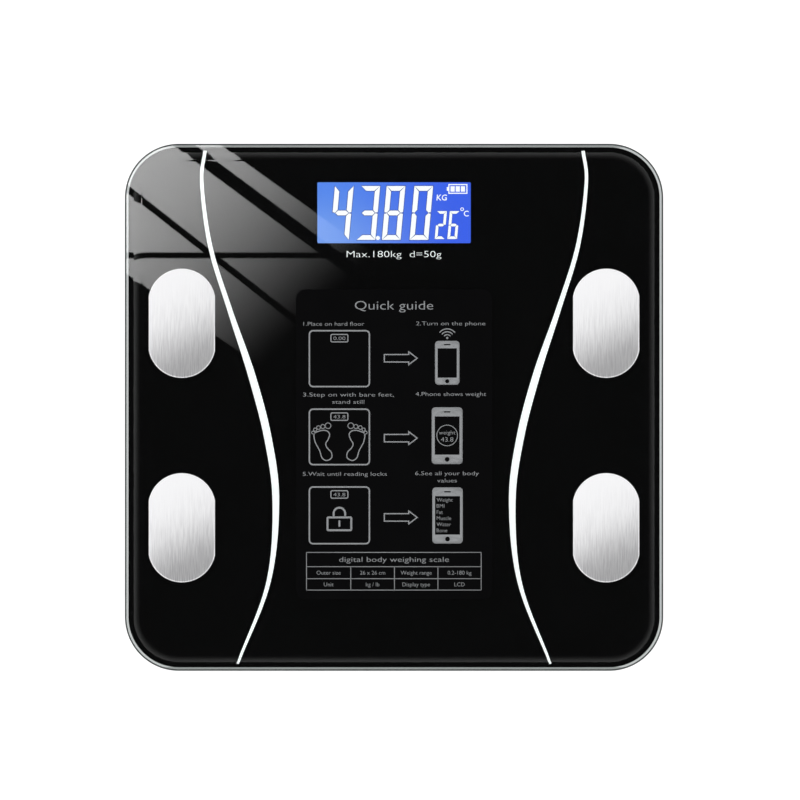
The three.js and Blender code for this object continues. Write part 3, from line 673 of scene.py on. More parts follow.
def cell_wrap(paint):
    """Shrink sleeve over most of the cell; both ends are bare steel."""
    x, _, _ = paint.axes()
    away = paint.maths("ABSOLUTE", x - WELL_X * MM)
    bare = paint.ramp(away, 21.1 * MM, 21.5 * MM)
    shrink = paint.noise(2, detail=3, stretch=(1, 0.2, 0.2))
    sleeve = paint.mix((0.025, 0.14, 0.07), (0.035, 0.18, 0.09), shrink)
    return {"Base Color": paint.mix(sleeve, (0.6, 0.6, 0.58), bare), "Metallic": bare,
            "Roughness": shrink * 0.15 + 0.2, "height": shrink, "depth": 0.01}


def sleeving(low, high):
    """PVC insulation of one colour, with the drag marks of its extrusion."""
    def write(paint):
        drag = paint.noise(1.5, detail=3)
        return {"Base Color": paint.mix(low, high, drag), "Roughness": drag * 0.2 + 0.3,
                "height": drag, "depth": 0.02}
    return write


PLAIN_LOOKS = [
    clear_glass, seamed_edge, edge_glass, satin_edge, black_ink, white_ink, label_film, label_print,
    brushed_steel, spring_steel, zinc, black_abs, white_abs, foot_rubber, foam_tape, lcd_face,
    lcd_segment, lcd_shade, lcd_stack, diffuser, elastomer, board_green, black_epoxy, cell_wrap,
]
LOOKS = {write.__name__: surface(write.__name__, write) for write in PLAIN_LOOKS}
LOOKS.update({
    "red_pvc": surface("red_pvc", sleeving((0.40, 0.015, 0.012), (0.52, 0.03, 0.02))),
    "black_pvc": surface("black_pvc", sleeving((0.008, 0.008, 0.008), (0.016, 0.016, 0.017))),
    "white_pvc": surface("white_pvc", sleeving((0.74, 0.74, 0.72), (0.84, 0.84, 0.83))),
})


# ---- Platform ------------------------------------------------------------------------------------
INK_EDGE, TOP_EDGE = PRINT_INSET + 0.2, SHOULDER_END + 0.6
ARRIS_LEAST, ARRIS_MOST = 0.1, 0.9
PLATE_LOOKS = ["clear_glass", "seamed_edge", "edge_glass", "satin_edge"]


def electrode_places():
    """The name and middle of each electrode."""
    return [(name, sx * ELECTRODE_X, ELECTRODE_Y[end]) for name, end, sx, _ in CORNERS]


def stud_holes(radius):
    """A round hole for the stud of each electrode."""
    return [circle(radius, (x, y), 24) for _, x, y in electrode_places()]


def glass_platform():
    """Rings from the bottom arris up the edge and over a sunk rim. The shoulder inside the rim rises
    by the square of the distance still to go, so it meets the flat top without a crease."""
    z_rim = Z_TOP - RIM_DROP
    profile = [(ARRIS, Z_GLASS), (0, Z_GLASS + ARRIS), (0, z_rim - ARRIS), (ARRIS, z_rim),
               (INK_EDGE, z_rim), (SHOULDER_START - 0.1, z_rim)]
    reach = SHOULDER_END - SHOULDER_START
    for inset in np.linspace(SHOULDER_START, SHOULDER_END, 9):
        profile.append((inset, Z_TOP - RIM_DROP * ((SHOULDER_END - inset) / reach) ** 2))
    profile.append((TOP_EDGE, Z_TOP))
    holes = stud_holes(STUD_HOLE)
    shell = Shell().loft([lifted(glass_outline(inset), z) for inset, z in profile], caps=False)
    shell.deck(glass_outline(ARRIS), Z_GLASS, holes)
    shell.deck(glass_outline(TOP_EDGE), Z_TOP, holes)
    for hole in holes:
        shell.loft([lifted(hole, Z_GLASS), lifted(hole, Z_TOP)], caps=False)
    plate = piece("glass_plate", shell, "platform", LOOKS[PLATE_LOOKS[0]], ["glass_platform"],
                  sharp=6)
    for name in PLATE_LOOKS[1:]:
        plate.data.materials.append(LOOKS[name])
    paint_plate(plate.data.polygons)


def paint_plate(faces):
    """Gives each face of the plate its look by its distance from the outline and its slope: level
    faces and the upright edge are told from the arrises by the size of the normal's Z."""
    inset = inset_of(face_values(faces, "center") / MM)
    level = np.abs(face_values(faces, "normal")[:, 2])
    clear, seamed, edge, satin = range(len(PLATE_LOOKS))
    look = np.where(inset <= INK_EDGE, edge, clear)
    outermost = inset <= ARRIS
    look[outermost & (level > ARRIS_LEAST) & (level < ARRIS_MOST)] = seamed
    look[outermost & (level <= ARRIS_LEAST)] = satin
    faces.foreach_set("material_index", look.astype(np.int32))


def face_values(faces, name):
    """A vector property of every face, as rows of three."""
    values = np.empty(len(faces) * 3)
    faces.foreach_get(name, values)
    return values.reshape(-1, 3)


def inset_of(points):
    """How far in from the platform's outline each point lies: from the straight sides, or from the
    quarter circle where the point is beyond both of a corner's centre lines."""
    beyond = np.abs(points[:, :2]) - (np.array([HALF_X, HALF_Y]) - GLASS_RADIUS)
    in_corner = np.all(beyond > 0, axis=1)
    reach = np.where(in_corner, np.linalg.norm(beyond, axis=1), beyond.max(axis=1))
    return GLASS_RADIUS - reach


def back_print():
    """The black layer behind the glass, with the display window and the stud holes left clear."""
    window = rounded(WINDOW_HALF_X, WINDOW_HALF_Y, 0.6, (0, WINDOW_Y), 4)
    shell = Shell().plate(glass_outline(PRINT_INSET), Z_PRINT_LOW, Z_PRINT,
                          [window, *stud_holes(STUD_HOLE + 0.2)])
    piece("black_back_print", shell, "platform", LOOKS["black_ink"], ["glass_back_print"])


def white_stripe(side):
    """A stripe whose middle line and width are Catmull-Rom curves through STRIPE."""
    x, y, width = smooth_path(STRIPE, 12).T
    along = np.gradient(np.column_stack([x, y]), axis=0)
    along /= np.linalg.norm(along, axis=1)[:, None]
    offset = np.column_stack([-along[:, 1], along[:, 0]]) * width[:, None] / 2
    middle = np.column_stack([x, y])
    outline = np.vstack([middle + offset, (middle - offset)[::-1]]) * (-side, 1)
    shell = Shell().plate(outline, Z_PRINT + 0.02, Z_GLASS - 0.02)
    name = "left" if side < 0 else "right"
    piece(f"white_stripe_{name}", shell, "platform", LOOKS["white_ink"], [f"stripe_{name}"])


def rating_print():
    """The capacity and the step of the readout, in plain lettering under the glass."""
    art = Art().words("Max.180kg  d=50g", 0, 72.5, 3.3, 45.8, centred=True, weight=-0.014)
    art.piece("rating_print", Z_PRINT + 0.04, "platform", LOOKS["white_ink"], "white_ink")


def electrode(name, x, y):
    """A crowned plate: its top falls with the squares of x and y, and a bevel runs round its rim."""
    def crown(outline):
        return ELECTRODE_TOP - CROWN * ((outline[:, 0] / ELECTRODE_HALF_X) ** 2
                                        + (outline[:, 1] / ELECTRODE_HALF_Y) ** 2)
    rings = [lifted(electrode_outline(0), Z_TOP)]
    for inset, drop in [(0, 0.14), (0.1, 0.08), (0.4, 0.015), (0.5, 0), (0.7, 0)]:
        outline = electrode_outline(inset)
        rings.append(lifted(outline, crown(outline) - drop))
    for shrink in (0.9, 0.78, 0.64, 0.48, 0.3, 0.12):
        outline = electrode_outline(0.7) * shrink
        rings.append(lifted(outline, crown(outline)))
    place = np.array([x, y, 0])
    shell = Shell().loft([ring + place for ring in rings])
    shell.loft([lifted(circle(STUD_RADIUS, (x, y), 24), z) for z in (STUD_BOTTOM, Z_TOP + 0.1)])
    piece(f"electrode_plate_{name}", shell, "platform", LOOKS["brushed_steel"], [f"electrode_{name}"],
          sharp=12)


# ---- Instruction label ---------------------------------------------------------------------------
CAPTION = 2.0
ICON_BOX_X, ICON_BOX_WIDTH, ICON_BOX_RADIUS = -26.4, 29.0, 1.8
ICON_BOXES = [(37.0, 10.0), (-0.9, -27.7), (-38.5, -65.9)]
ARROW_Y = (23.7, -14.9, -53.2)
ICON_LINE, THIN_LINE, FINE_LINE = 0.72, 0.5, 0.35


def label_sheet():
    """The film itself: a thin rounded rectangle on the glass."""
    centre = ((LABEL_LOW + LABEL_HIGH) / 2)[:2]
    half = ((LABEL_HIGH - LABEL_LOW) / 2)[:2]
    shell = Shell().slab(
        lambda inset: rounded(half[0] - inset, half[1] - inset, LABEL_RADIUS - inset, centre),
        LABEL_LOW[2], LABEL_HIGH[2], 0.03)
    piece("label_sheet", shell, "platform", LOOKS["label_film"], ["instruction_label"])


def captions(art):
    """Plain wording for the three pairs of pictures: text, x, baseline, width, centred or not."""
    art.words("Quick guide", 0, 47.2, 4.5, 37.9, centred=True)
    rows = [
        ("1.Place on hard floor", -43.8, 39.4, 29.4, False),
        ("2.Turn on the phone", 10.6, 39.6, 33.5, False),
        ("3.Step on with bare feet,", -44, 5.2, 43.9, False),
        ("stand still", -22.1, 1.7, 15.5, True),
        ("4.Phone shows weight", 10.4, 5.5, 34.1, False),
        ("5.Wait until reading locks", -44.1, -33.1, 40.6, False),
        ("6.See all your body", 10.2, -32.8, 30.8, False),
        ("values", 25.6, -36.3, 9.5, True),
    ]
    for text, x, baseline, width, centred in rows:
        art.words(text, x, baseline, CAPTION, width, centred)


def scale_icon(art, top, bottom, reading):
    """A small scale seen from above: rounded body and a readout box."""
    middle = (top + bottom) / 2
    art.line(rounded(ICON_BOX_WIDTH / 2, (top - bottom) / 2, ICON_BOX_RADIUS, (ICON_BOX_X, middle), 6),
             ICON_LINE, closed=True)
    readout_y = top - 3.6
    art.line(rounded(4.1, 1.8, 0.6, (ICON_BOX_X, readout_y), 3), THIN_LINE, closed=True)
    art.words(reading, ICON_BOX_X, readout_y - 0.9, 1.8, 5.8, centred=True)


SOLE = [(-38.6, -12.9), (-36.4, -11.6), (-34.2, -11.1), (-32.1, -11.6), (-31.1, -13.2), (-31.9, -15.6),
        (-33.0, -17.6), (-32.3, -19.6), (-30.3, -21.8), (-30.2, -24.4), (-32.6, -25.7), (-34.8, -24.4),
        (-36.0, -20.8), (-38.1, -16.8)]
TOES = [(-31.9, -8.9, 1.4), (-34.4, -9.3, 1.0), (-36.5, -9.8, 0.9), (-38.1, -10.8, 0.8), (-39.1, -12.2, 0.7)]


def bare_feet(art):
    """A pair of footprints, mirrored about the middle of the icon."""
    for side in (1, -1):
        flip = np.array([side, 1])
        origin = np.array([ICON_BOX_X, 0])
        sole = (smooth_path(SOLE, 6, closed=True) - origin) * flip + origin
        art.line(sole, THIN_LINE, closed=True)
        for x, y, radius in TOES:
            toe = (circle(radius, (x, y), 14) - origin) * flip + origin
            art.line(toe, FINE_LINE, closed=True)


def padlock(art):
    """A closed padlock: the outline of its body, a keyhole and a shackle."""
    art.line(rounded(5.75, 3.1, 0.4, (ICON_BOX_X, -56.3), 3), 0.95, closed=True)
    art.fill(rounded(0.45, 1.6, 0.4, (ICON_BOX_X, -56.2), 3))
    arch = circle(2.8, (ICON_BOX_X, -51.3), 32)[:17]
    art.line([(ICON_BOX_X + 2.8, -52.8), *arch, (ICON_BOX_X - 2.8, -52.8)], 0.95)


def arrow(art, y):
    """An outline arrow to the right."""
    tail, neck, tip, shaft, head = -4.7, 7.1, 11.2, 1.8, 3.1
    art.line([(tail, y - shaft), (neck, y - shaft), (neck, y - head), (tip, y), (neck, y + head),
              (neck, y + shaft), (tail, y + shaft)], 0.55, closed=True)


def phone(art, x_low, x_high, top, bottom, screen, button_radius):
    """A plain phone: filled case with its screen, speaker slot and button left clear."""
    centre = ((x_low + x_high) / 2, (top + bottom) / 2)
    screen_x, screen_top, screen_bottom = screen
    case = rounded((x_high - x_low) / 2, (top - bottom) / 2, 1.7, centre, 6)
    glass = rectangle(centre[0] - screen_x, centre[0] + screen_x, screen_bottom, screen_top)
    slot = rounded(1.6, 0.3, 0.28, (centre[0], (top + screen_top) / 2), 3)
    button = circle(button_radius, (centre[0], (bottom + screen_bottom) / 2), 20)
    art.fill(case, [glass, slot, button])


def phones(art):
    """Three phones: one with radio waves, one with a round readout and one with a list."""
    phone(art, 19.8, 31.6, 32.1, 10.9, (4.65, 28.5, 14.3), 1.0)
    for radius in (1.9, 3.3, 4.7):
        angle = np.radians(np.linspace(38, 142, 17))
        art.line(np.column_stack([25.7 + radius * np.cos(angle), 33.2 + radius * np.sin(angle)]), THIN_LINE)
    art.fill(circle(0.55, (25.7, 33.5), 12))
    phone(art, 18.2, 33.1, 0.0, -27.4, (6.0, -4.4, -22.9), 1.15)
    art.line(circle(5.0, (25.65, -13.6), 40), FINE_LINE, closed=True)
    art.words("weight", 25.65, -13.1, 2.0, 8.0, centred=True)
    art.words("43.8", 25.65, -16.6, 2.3, 6.0, centred=True)
    phone(art, 18.5, 33.2, -38.7, -65.8, (6.05, -42.9, -61.5), 1.15)
    for row, text in enumerate(["Weight", "BMI", "Fat", "Muscle", "Water", "Bone"]):
        art.words(text, 20.6, -45.6 - 2.95 * row, 1.9)


TABLE_ROWS = [-70.1, -77.0, -82.8, -88.3]
TABLE_COLUMNS = [-42.3, -20.9, 0.2, 21.2, 42.1]
TABLE_TEXT = [["Outer size", "26 x 26 cm", "Weight range", "0.2-180 kg"],
              ["Unit", "kg / lb", "Display type", "LCD"]]


def data_table(art):
    """A ruled table of the scale's plain data under one heading."""
    left, right = TABLE_COLUMNS[0], TABLE_COLUMNS[-1]
    for y in TABLE_ROWS:
        art.line([(left, y), (right, y)], FINE_LINE)
    for x in TABLE_COLUMNS:
        top = TABLE_ROWS[0] if x in (left, right) else TABLE_ROWS[1]
        art.line([(x, top), (x, TABLE_ROWS[-1])], FINE_LINE)
    art.words("digital body weighing scale", 0, -74.7, 2.6, 53, centred=True)
    for row, texts in enumerate(TABLE_TEXT):
        for column, text in enumerate(texts):
            middle = (TABLE_COLUMNS[column] + TABLE_COLUMNS[column + 1]) / 2
            baseline = (TABLE_ROWS[row + 1] + TABLE_ROWS[row + 2]) / 2 - 0.95
            art.words(text, middle, baseline, 2.0, centred=True)


def label_art():
    """Everything printed on the film."""
    art = Art()
    captions(art)
    for (top, bottom), reading in zip(ICON_BOXES, ["0.00", "43.8", "43.8"]):
        scale_icon(art, top, bottom, reading)
    for y in ARROW_Y:
        arrow(art, y)
    bare_feet(art)
    padlock(art)
    phones(art)
    data_table(art)
    art.piece("label_artwork", LABEL_HIGH[2] + 0.002, "platform", LOOKS["label_print"], "label_film")


# ---- Display -------------------------------------------------------------------------------------
SEGMENT_GAP, SHADE_GROWTH, SEGMENT_SLANT = 0.14, 0.4, 0.09
DIGITS = {"4": "fgbc", "3": "abgcd", "8": "abcdefg", "0": "abcdef", "2": "abged", "6": "afgedc"}


def seven_segment(art, shade, lit, x, y, width, height, stroke):
    """A slanted digit of seven bars: the lit ones a little smaller than they fit, over a dark edge."""
    w, h, t = width / 2, height / 2, stroke
    bars = {
        "a": [(-w, h), (w, h), (w - t, h - t), (-w + t, h - t)],
        "d": [(-w, -h), (w, -h), (w - t, -h + t), (-w + t, -h + t)],
        "g": [(-w + t * 0.5, 0), (-w + t, t / 2), (w - t, t / 2), (w - t * 0.5, 0), (w - t, -t / 2),
              (-w + t, -t / 2)],
        "f": [(-w, h), (-w + t, h - t), (-w + t, t / 2), (-w + t * 0.5, 0), (-w, t * 0.1)],
        "e": [(-w, -h), (-w + t, -h + t), (-w + t, -t / 2), (-w + t * 0.5, 0), (-w, -t * 0.1)],
        "b": [(w, h), (w - t, h - t), (w - t, t / 2), (w - t * 0.5, 0), (w, t * 0.1)],
        "c": [(w, -h), (w - t, -h + t), (w - t, -t / 2), (w - t * 0.5, 0), (w, -t * 0.1)],
    }
    for name in lit:
        bar = np.array(bars[name], float)
        middle = bar.mean(0)
        size = np.ptp(bar, axis=0)
        for layer, gap in ((art, SEGMENT_GAP * stroke), (shade, -SEGMENT_GAP * stroke * SHADE_GROWTH)):
            drawn = middle + (bar - middle) * (1 - gap / size)
            drawn[:, 0] += drawn[:, 1] * SEGMENT_SLANT
            layer.fill(drawn + (x, y))


def battery_icon(art):
    """A small battery: outline, nub and three bars."""
    x_low, x_high, y_low, y_high = 26.5, 35.2, 103.4, 107.6
    art.line(rectangle(x_low, x_high, y_low, y_high), 0.5, closed=True)
    art.fill(rectangle(x_low - 1.0, x_low, 104.6, 106.4))
    for bar in range(3):
        left = x_low + 0.8 + 2.5 * bar
        art.fill(rectangle(left, left + 2.0, y_low + 0.8, y_high - 0.8))


def lcd_readout():
    """A weight in kilograms, the room's temperature and the battery's state."""
    art = Art()
    shade = Art()
    for digit, x in zip("4380", (-25.2, -12.4, -0.2, 13.2)):
        seven_segment(art, shade, DIGITS[digit], x, 93.9, 9.4, 26.4, 2.7)
    art.fill(circle(1.0, (-7.8, 81.8), 16))
    art.words("KG", 20.5, 100, 2.9, 4.9, slant=SEGMENT_SLANT, weight=0.01)
    for digit, x in zip("26", (22.6, 28.7)):
        seven_segment(art, shade, DIGITS[digit], x, 88.05, 4.9, 13.7, 1.5)
    art.line(circle(0.7, (32.9, 95.7), 14), 0.35, closed=True)
    art.words("C", 33.7, 92.3, 2.8, 2.4, weight=0.01)
    battery_icon(art)
    shade.piece("lcd_segment_edges", Z_PRINT_LOW - 0.02, "platform", LOOKS["lcd_shade"], "lcd_glass")
    art.piece("lcd_readout", Z_PRINT_LOW + 0.01, "platform", LOOKS["lcd_segment"], "lcd_glass")


def lcd_panel():
    """The panel's glass stack, and its lit face just under the window."""
    (x_low, y_low, z_low), (x_high, y_high, z_high) = node_box("lcd_panel")
    shell = Shell().box(x_low, x_high, y_low, y_high, z_low, z_low + 1.2)
    shell.box(x_low, x_high, y_low + 3, y_high, z_low + 1.25, z_high - 0.2)
    piece("lcd_glass_stack", shell, "platform", LOOKS["lcd_stack"], ["lcd_panel"])
    face = Shell().box(-WINDOW_HALF_X - 1, WINDOW_HALF_X + 1, WINDOW_Y - WINDOW_HALF_Y - 1,
                       WINDOW_Y + WINDOW_HALF_Y + 1, z_high - 0.18, z_high - 0.03, 0.02)
    piece("lcd_lit_face", face, "platform", LOOKS["lcd_face"])


# ---- Tray ----------------------------------------------------------------------------------------
PILLARS = [(-22, -35), (22, -35), (-22, -90), (22, -90)]
RIBS_ACROSS_Y, RIBS_ALONG_X = (-60, -5, 50), (-66, 66)
RIB_HALF, RIB_HEIGHT = 0.7, 2.8
GUIDE_RADIUS, GUIDE_BORE, GUIDE_TOP = 23, 21.4, 9.6
RECESS_LIP, COVER_THICKNESS = 1.4, 1.2
NOTCH_HALF, NOTCH_REACH = 6.4, 6.4
LID_LIP, TAB_HALF, TAB_REACH = 1.1, 6, 4
EDGE = 0.4


def tray_openings(grow):
    """Four round foot openings and the button's hole."""
    feet = [circle(FOOT_OPENING + grow, (sx * FOOT_X, sy * FOOT_Y), 72) for _, _, sx, sy in CORNERS]
    button = circle(BUTTON_OPENING + grow, (BUTTON_X, BUTTON_Y), 32)
    return [*feet, button]


def tray_skin():
    """Rings from the floor's outer face round the fillet, up the wall, over the rim and back down inside;
    the fillets are quarter circles and the two floor faces carry the openings."""
    turn = np.linspace(0, math.pi / 2, 9)
    outer = [(TRAY_CORNER * (1 - np.sin(a)), Z_TRAY + TRAY_CORNER * (1 - np.cos(a))) for a in turn]
    rim = [(0, Z_RIM - 0.3), (0.3, Z_RIM), (LEDGE_WIDTH, Z_RIM), (LEDGE_WIDTH, Z_RIM - LEDGE_HEIGHT),
           (TRAY_WALL, Z_RIM - LEDGE_HEIGHT)]
    inner = [(TRAY_WALL + 1.5 * (1 - np.cos(a)), Z_FLOOR + 1.5 * (1 - np.sin(a))) for a in turn]
    profile = outer + rim + inner
    throat = rounded(WELL_HALF_X, WELL_HALF_Y, 0.5, (WELL_X, WELL_Y), 4)
    shell = Shell().loft([lifted(tray_outline(inset), z) for inset, z in profile], caps=False)
    shell.deck(tray_outline(TRAY_CORNER), Z_TRAY, [*tray_openings(EDGE), cover_recess()])
    shell.deck(tray_outline(TRAY_WALL + 1.5), Z_FLOOR, [*tray_openings(0), throat])
    for wide, narrow in zip(tray_openings(EDGE), tray_openings(0)):
        shell.loft([lifted(wide, Z_TRAY), lifted(narrow, Z_TRAY + EDGE), lifted(narrow, Z_FLOOR)],
                   caps=False)
    z_seat = Z_TRAY + COVER_THICKNESS + 0.05
    shell.loft([lifted(cover_recess(), Z_TRAY), lifted(cover_recess(), z_seat)], caps=False)
    shell.deck(cover_recess(), z_seat, [throat])
    shell.loft([lifted(throat, z_seat), lifted(throat, Z_FLOOR)], caps=False)
    return shell


def tabbed(lip, tab_half, tab_reach, inset=0):
    """The well's outline widened by lip, with a tab of cut corners on its +X side, drawn in by inset."""
    half_x, half_y = WELL_HALF_X + lip - inset, WELL_HALF_Y + lip - inset
    side, tip = tab_half - inset, half_x + tab_reach
    body = rounded(half_x, half_y, 0.8, steps=4)
    tab = np.array([(half_x, -side), (tip - 1, -side), (tip, 1 - side), (tip, side - 1), (tip - 1, side),
                    (half_x, side)])
    return np.vstack([tab, body]) + (WELL_X, WELL_Y)


def cover_recess():
    """The outline that the cover sits in, with a notch for the finger beyond its tab."""
    return tabbed(RECESS_LIP, NOTCH_HALF, NOTCH_REACH)


def tray_ribs(shell):
    """Crossing ribs on the floor; they stop short of the display's bay."""
    side_x, side_y = TRAY_HALF_X - TRAY_WALL - 0.5, TRAY_HALF_Y - TRAY_WALL - 0.5
    for y in RIBS_ACROSS_Y:
        shell.box(-side_x, side_x, y - RIB_HALF, y + RIB_HALF, Z_FLOOR - 0.5, Z_FLOOR + RIB_HEIGHT)
    for x in RIBS_ALONG_X:
        shell.box(x - RIB_HALF, x + RIB_HALF, -side_y, side_y, Z_FLOOR - 0.5, Z_FLOOR + RIB_HEIGHT - 0.5)


def tray_guides(shell):
    """A low ring round each foot and a pillar under the middle of the glass."""
    for _, _, sx, sy in CORNERS:
        rings = [(GUIDE_RADIUS, Z_FLOOR - 0.5), (GUIDE_RADIUS, GUIDE_TOP), (GUIDE_BORE, GUIDE_TOP),
                 (GUIDE_BORE, Z_FLOOR - 0.5)]
        shell.loft([lifted(circle(r, (sx * FOOT_X, sy * FOOT_Y), 72), z) for r, z in rings], looped=True)
    for x, y in PILLARS:
        shell.slab(lambda inset: circle(4 - inset, (x, y), 32), Z_FLOOR - 0.5, Z_PRINT_LOW, 0.3)


def tray_well(shell):
    """The battery well: a box open towards the floor. The battery leads leave through its +X wall."""
    outside = (WELL_HALF_X + WELL_WALL, WELL_HALF_Y + WELL_WALL)
    levels = [(outside, Z_FLOOR - 0.5), (outside, WELL_TOP), ((WELL_HALF_X, WELL_HALF_Y), WELL_TOP - 0.6),
              ((WELL_HALF_X, WELL_HALF_Y), Z_FLOOR - 0.5)]
    outer, top, ceiling, mouth = [lifted(rounded(*half, 0.5, (WELL_X, WELL_Y), 4), z) for half, z in levels]
    shell.loft([outer, top], caps=False)
    shell.add(top, [np.arange(len(top))])
    shell.loft([ceiling, mouth], caps=False)
    shell.add(ceiling, [np.arange(len(ceiling))])


def base_tray():
    """The moulded tray: skin, ribs, foot guides, pillars and battery well in one piece."""
    shell = tray_skin()
    tray_ribs(shell)
    tray_guides(shell)
    tray_well(shell)
    piece("moulded_tray", shell, "platform", LOOKS["black_abs"], ["base_tray"], sharp=25)


# ---- Feet ----------------------------------------------------------------------------------------
def foot_pad(name, x, y):
    """A turned rubber sole with three grip grooves and a rounded edge."""
    (_, _, low), (high_x, _, high) = node_box(f"foot_pad_{name}")
    radius = high_x - x
    profile = [(0.0, low)]
    for groove in (3.4, 7.4, 11.4):
        profile += [(groove, low), (groove + 0.3, low + 0.6), (groove + 1.1, low + 0.6), (groove + 1.4, low)]
    turn = np.linspace(0, math.pi / 2, 7)
    profile += [(radius - 0.8 + 0.8 * np.sin(a), low + 0.8 * (1 - np.cos(a))) for a in turn]
    profile += [(radius, high), (0.0, high)]
    piece(f"rubber_sole_{name}", Shell().lathe(profile, (x, y), 72), f"foot_{name}", LOOKS["foot_rubber"],
          [f"foot_pad_{name}"])


def foot_cup(name, x, y):
    """A turned cup: a socket for the sole below, a retaining flange and the stud that presses the cell."""
    low, high = node_box(f"foot_cup_{name}")
    flange = high[0] - x
    socket, wall, bowl, post = 17.2, 18.0, 15, 4
    z_seat, z_bowl, z_flange, z_rim, z_tip = 2.4, 4.4, 7.2, 8.4, high[2]
    profile = [(0, z_seat), (socket, z_seat), (socket, low[2]), (wall - 0.25, low[2]),
               (wall, low[2] + 0.25), (wall, z_flange), (flange - 0.2, z_flange), (flange, z_flange + 0.2),
               (flange, z_rim - 0.2), (flange - 0.2, z_rim), (bowl, z_rim), (bowl, z_bowl + 0.2),
               (bowl - 0.2, z_bowl), (post + 0.4, z_bowl), (post, z_bowl + 0.4), (post, z_tip - 0.6),
               (post - 0.6, z_tip), (0, z_tip)]
    piece(f"foot_housing_{name}", Shell().lathe(profile, (x, y), 72), f"foot_{name}", LOOKS["black_abs"],
          [f"foot_cup_{name}"])


# ---- Underside controls --------------------------------------------------------------------------
def unit_button():
    """A turned cap with a shallow finger dish below and a flange above."""
    (_, _, low), (high_x, _, high) = node_box("unit_button")
    flange = high_x - BUTTON_X
    radius = 4.6
    dish = [(r, low + 0.35 * (1 - (r / 3.6) ** 2)) for r in np.linspace(0, 3.6, 8)]
    profile = dish + [(4.1, low), (4.45, low + 0.15), (radius, low + 0.5), (radius, high - 0.6),
                      (flange, high - 0.6), (flange, high), (0, high)]
    piece("unit_key", Shell().lathe(profile, (BUTTON_X, BUTTON_Y), 48), "unit_button", LOOKS["black_abs"],
          ["unit_button"])


def battery_cover():
    """A flush lid with grip ridges by the finger tab, two hooks and two cradle ribs."""
    reach_x = WELL_HALF_X + LID_LIP
    top = Z_TRAY + COVER_THICKNESS
    shell = Shell().slab(lambda inset: tabbed(LID_LIP, TAB_HALF, TAB_REACH, inset), Z_TRAY, top, 0.2)
    for side in (-1, 1):
        middle = WELL_Y + side * 7.5
        hinge_x = WELL_X - reach_x
        shell.box(hinge_x - 2, hinge_x + 1, middle - 2.5, middle + 2.5, top - 0.4, top + 0.2)
    for ridge in range(5):
        x = WELL_X + reach_x - 4 - 1.8 * ridge
        shell.box(x - 0.4, x + 0.4, WELL_Y - 6, WELL_Y + 6, Z_TRAY - 0.3, Z_TRAY + 0.2, 0.14)
    for x in (-12, 12):
        shell.box(WELL_X + x - 0.8, WELL_X + x + 0.8, WELL_Y - 11, WELL_Y + 11, top - 0.2, top + 0.5)
    piece("battery_lid", shell, "battery_cover", LOOKS["black_abs"], ["battery_cover"])


# ---- Inside --------------------------------------------------------------------------------------
def battery_cell(number, direction):
    """A cell turned about its own length: a can with rounded shoulders and its positive nub."""
    body = CELL_LENGTH - 0.8
    profile = [(0, 0), (4.4, 0), (4.9, 0.1), (CELL_RADIUS, 0.5), (CELL_RADIUS, body - 0.5),
               (4.9, body - 0.1), (4.4, body), (1.9, body), (1.9, CELL_LENGTH - 0.2), (1.7, CELL_LENGTH),
               (0, CELL_LENGTH)]
    tip = WELL_HALF_X - CONTACT_THICKNESS - 0.1
    start = tip - CELL_LENGTH
    y = WELL_Y - direction * CELL_PITCH / 2
    shell = Shell()
    rings = []
    for radius, along in profile:
        ring = circle(radius, steps=40)
        x = WELL_X + direction * (start + along)
        rings.append(np.column_stack([np.full(len(ring), x), y + ring[:, 0], CELL_Z + ring[:, 1]]))
    shell.loft(rings, caps=False)
    piece(f"aaa_cell_{number}", shell, "platform", LOOKS["cell_wrap"], [f"battery_cell_{number}"])


def contact_plate(shell, side, y, half_width):
    """A pressed plate against the well's end wall."""
    inner, outer = sorted((WELL_X + side * (WELL_HALF_X - CONTACT_THICKNESS), WELL_X + side * WELL_HALF_X))
    shell.box(inner, outer, y - half_width, y + half_width, CELL_Z - CONTACT_SIZE / 2,
              CELL_Z + CONTACT_SIZE / 2, 0.1)


def contact_coil(shell, side, y):
    """A cone-shaped coil: the angle and the distance from the plate grow evenly as the radius falls."""
    t = np.linspace(0, 1, COIL_TURNS * 24 + 1)
    angle = 2 * math.pi * COIL_TURNS * t
    radius = 3.9 - 1.4 * t
    length = 2 * WELL_HALF_X - 2 * CONTACT_THICKNESS - CELL_LENGTH - 0.9
    start = WELL_HALF_X - CONTACT_THICKNESS
    x = WELL_X + side * (start - length * t)
    path = np.column_stack([x, y + radius * np.cos(angle), CELL_Z + radius * np.sin(angle)])
    outward = np.column_stack([np.zeros_like(t), np.cos(angle), np.sin(angle)])
    tangent = np.gradient(path, axis=0)
    tangent /= np.linalg.norm(tangent, axis=1)[:, None]
    third = np.cross(tangent, outward)
    around = (np.arange(10) * 2 * math.pi / 10)[None, :, None]
    section = np.cos(around) * outward[:, None] + np.sin(around) * third[:, None]
    shell.loft(path[:, None] + COIL_WIRE * section)


def battery_contacts():
    """The bridge at the -X end joins both cells; the negative coil stands at the +X end."""
    bridge = Shell()
    contact_plate(bridge, -1, WELL_Y, CELL_PITCH / 2 + CONTACT_SIZE / 2)
    contact_coil(bridge, -1, WELL_Y - CELL_PITCH / 2)
    piece("bridge_contact", bridge, "platform", LOOKS["spring_steel"], ["contact_bridge"])
    negative = Shell()
    contact_plate(negative, 1, WELL_Y + CELL_PITCH / 2, CONTACT_SIZE / 2)
    contact_coil(negative, 1, WELL_Y + CELL_PITCH / 2)
    piece("negative_contact", negative, "platform", LOOKS["spring_steel"], ["contact_negative"])


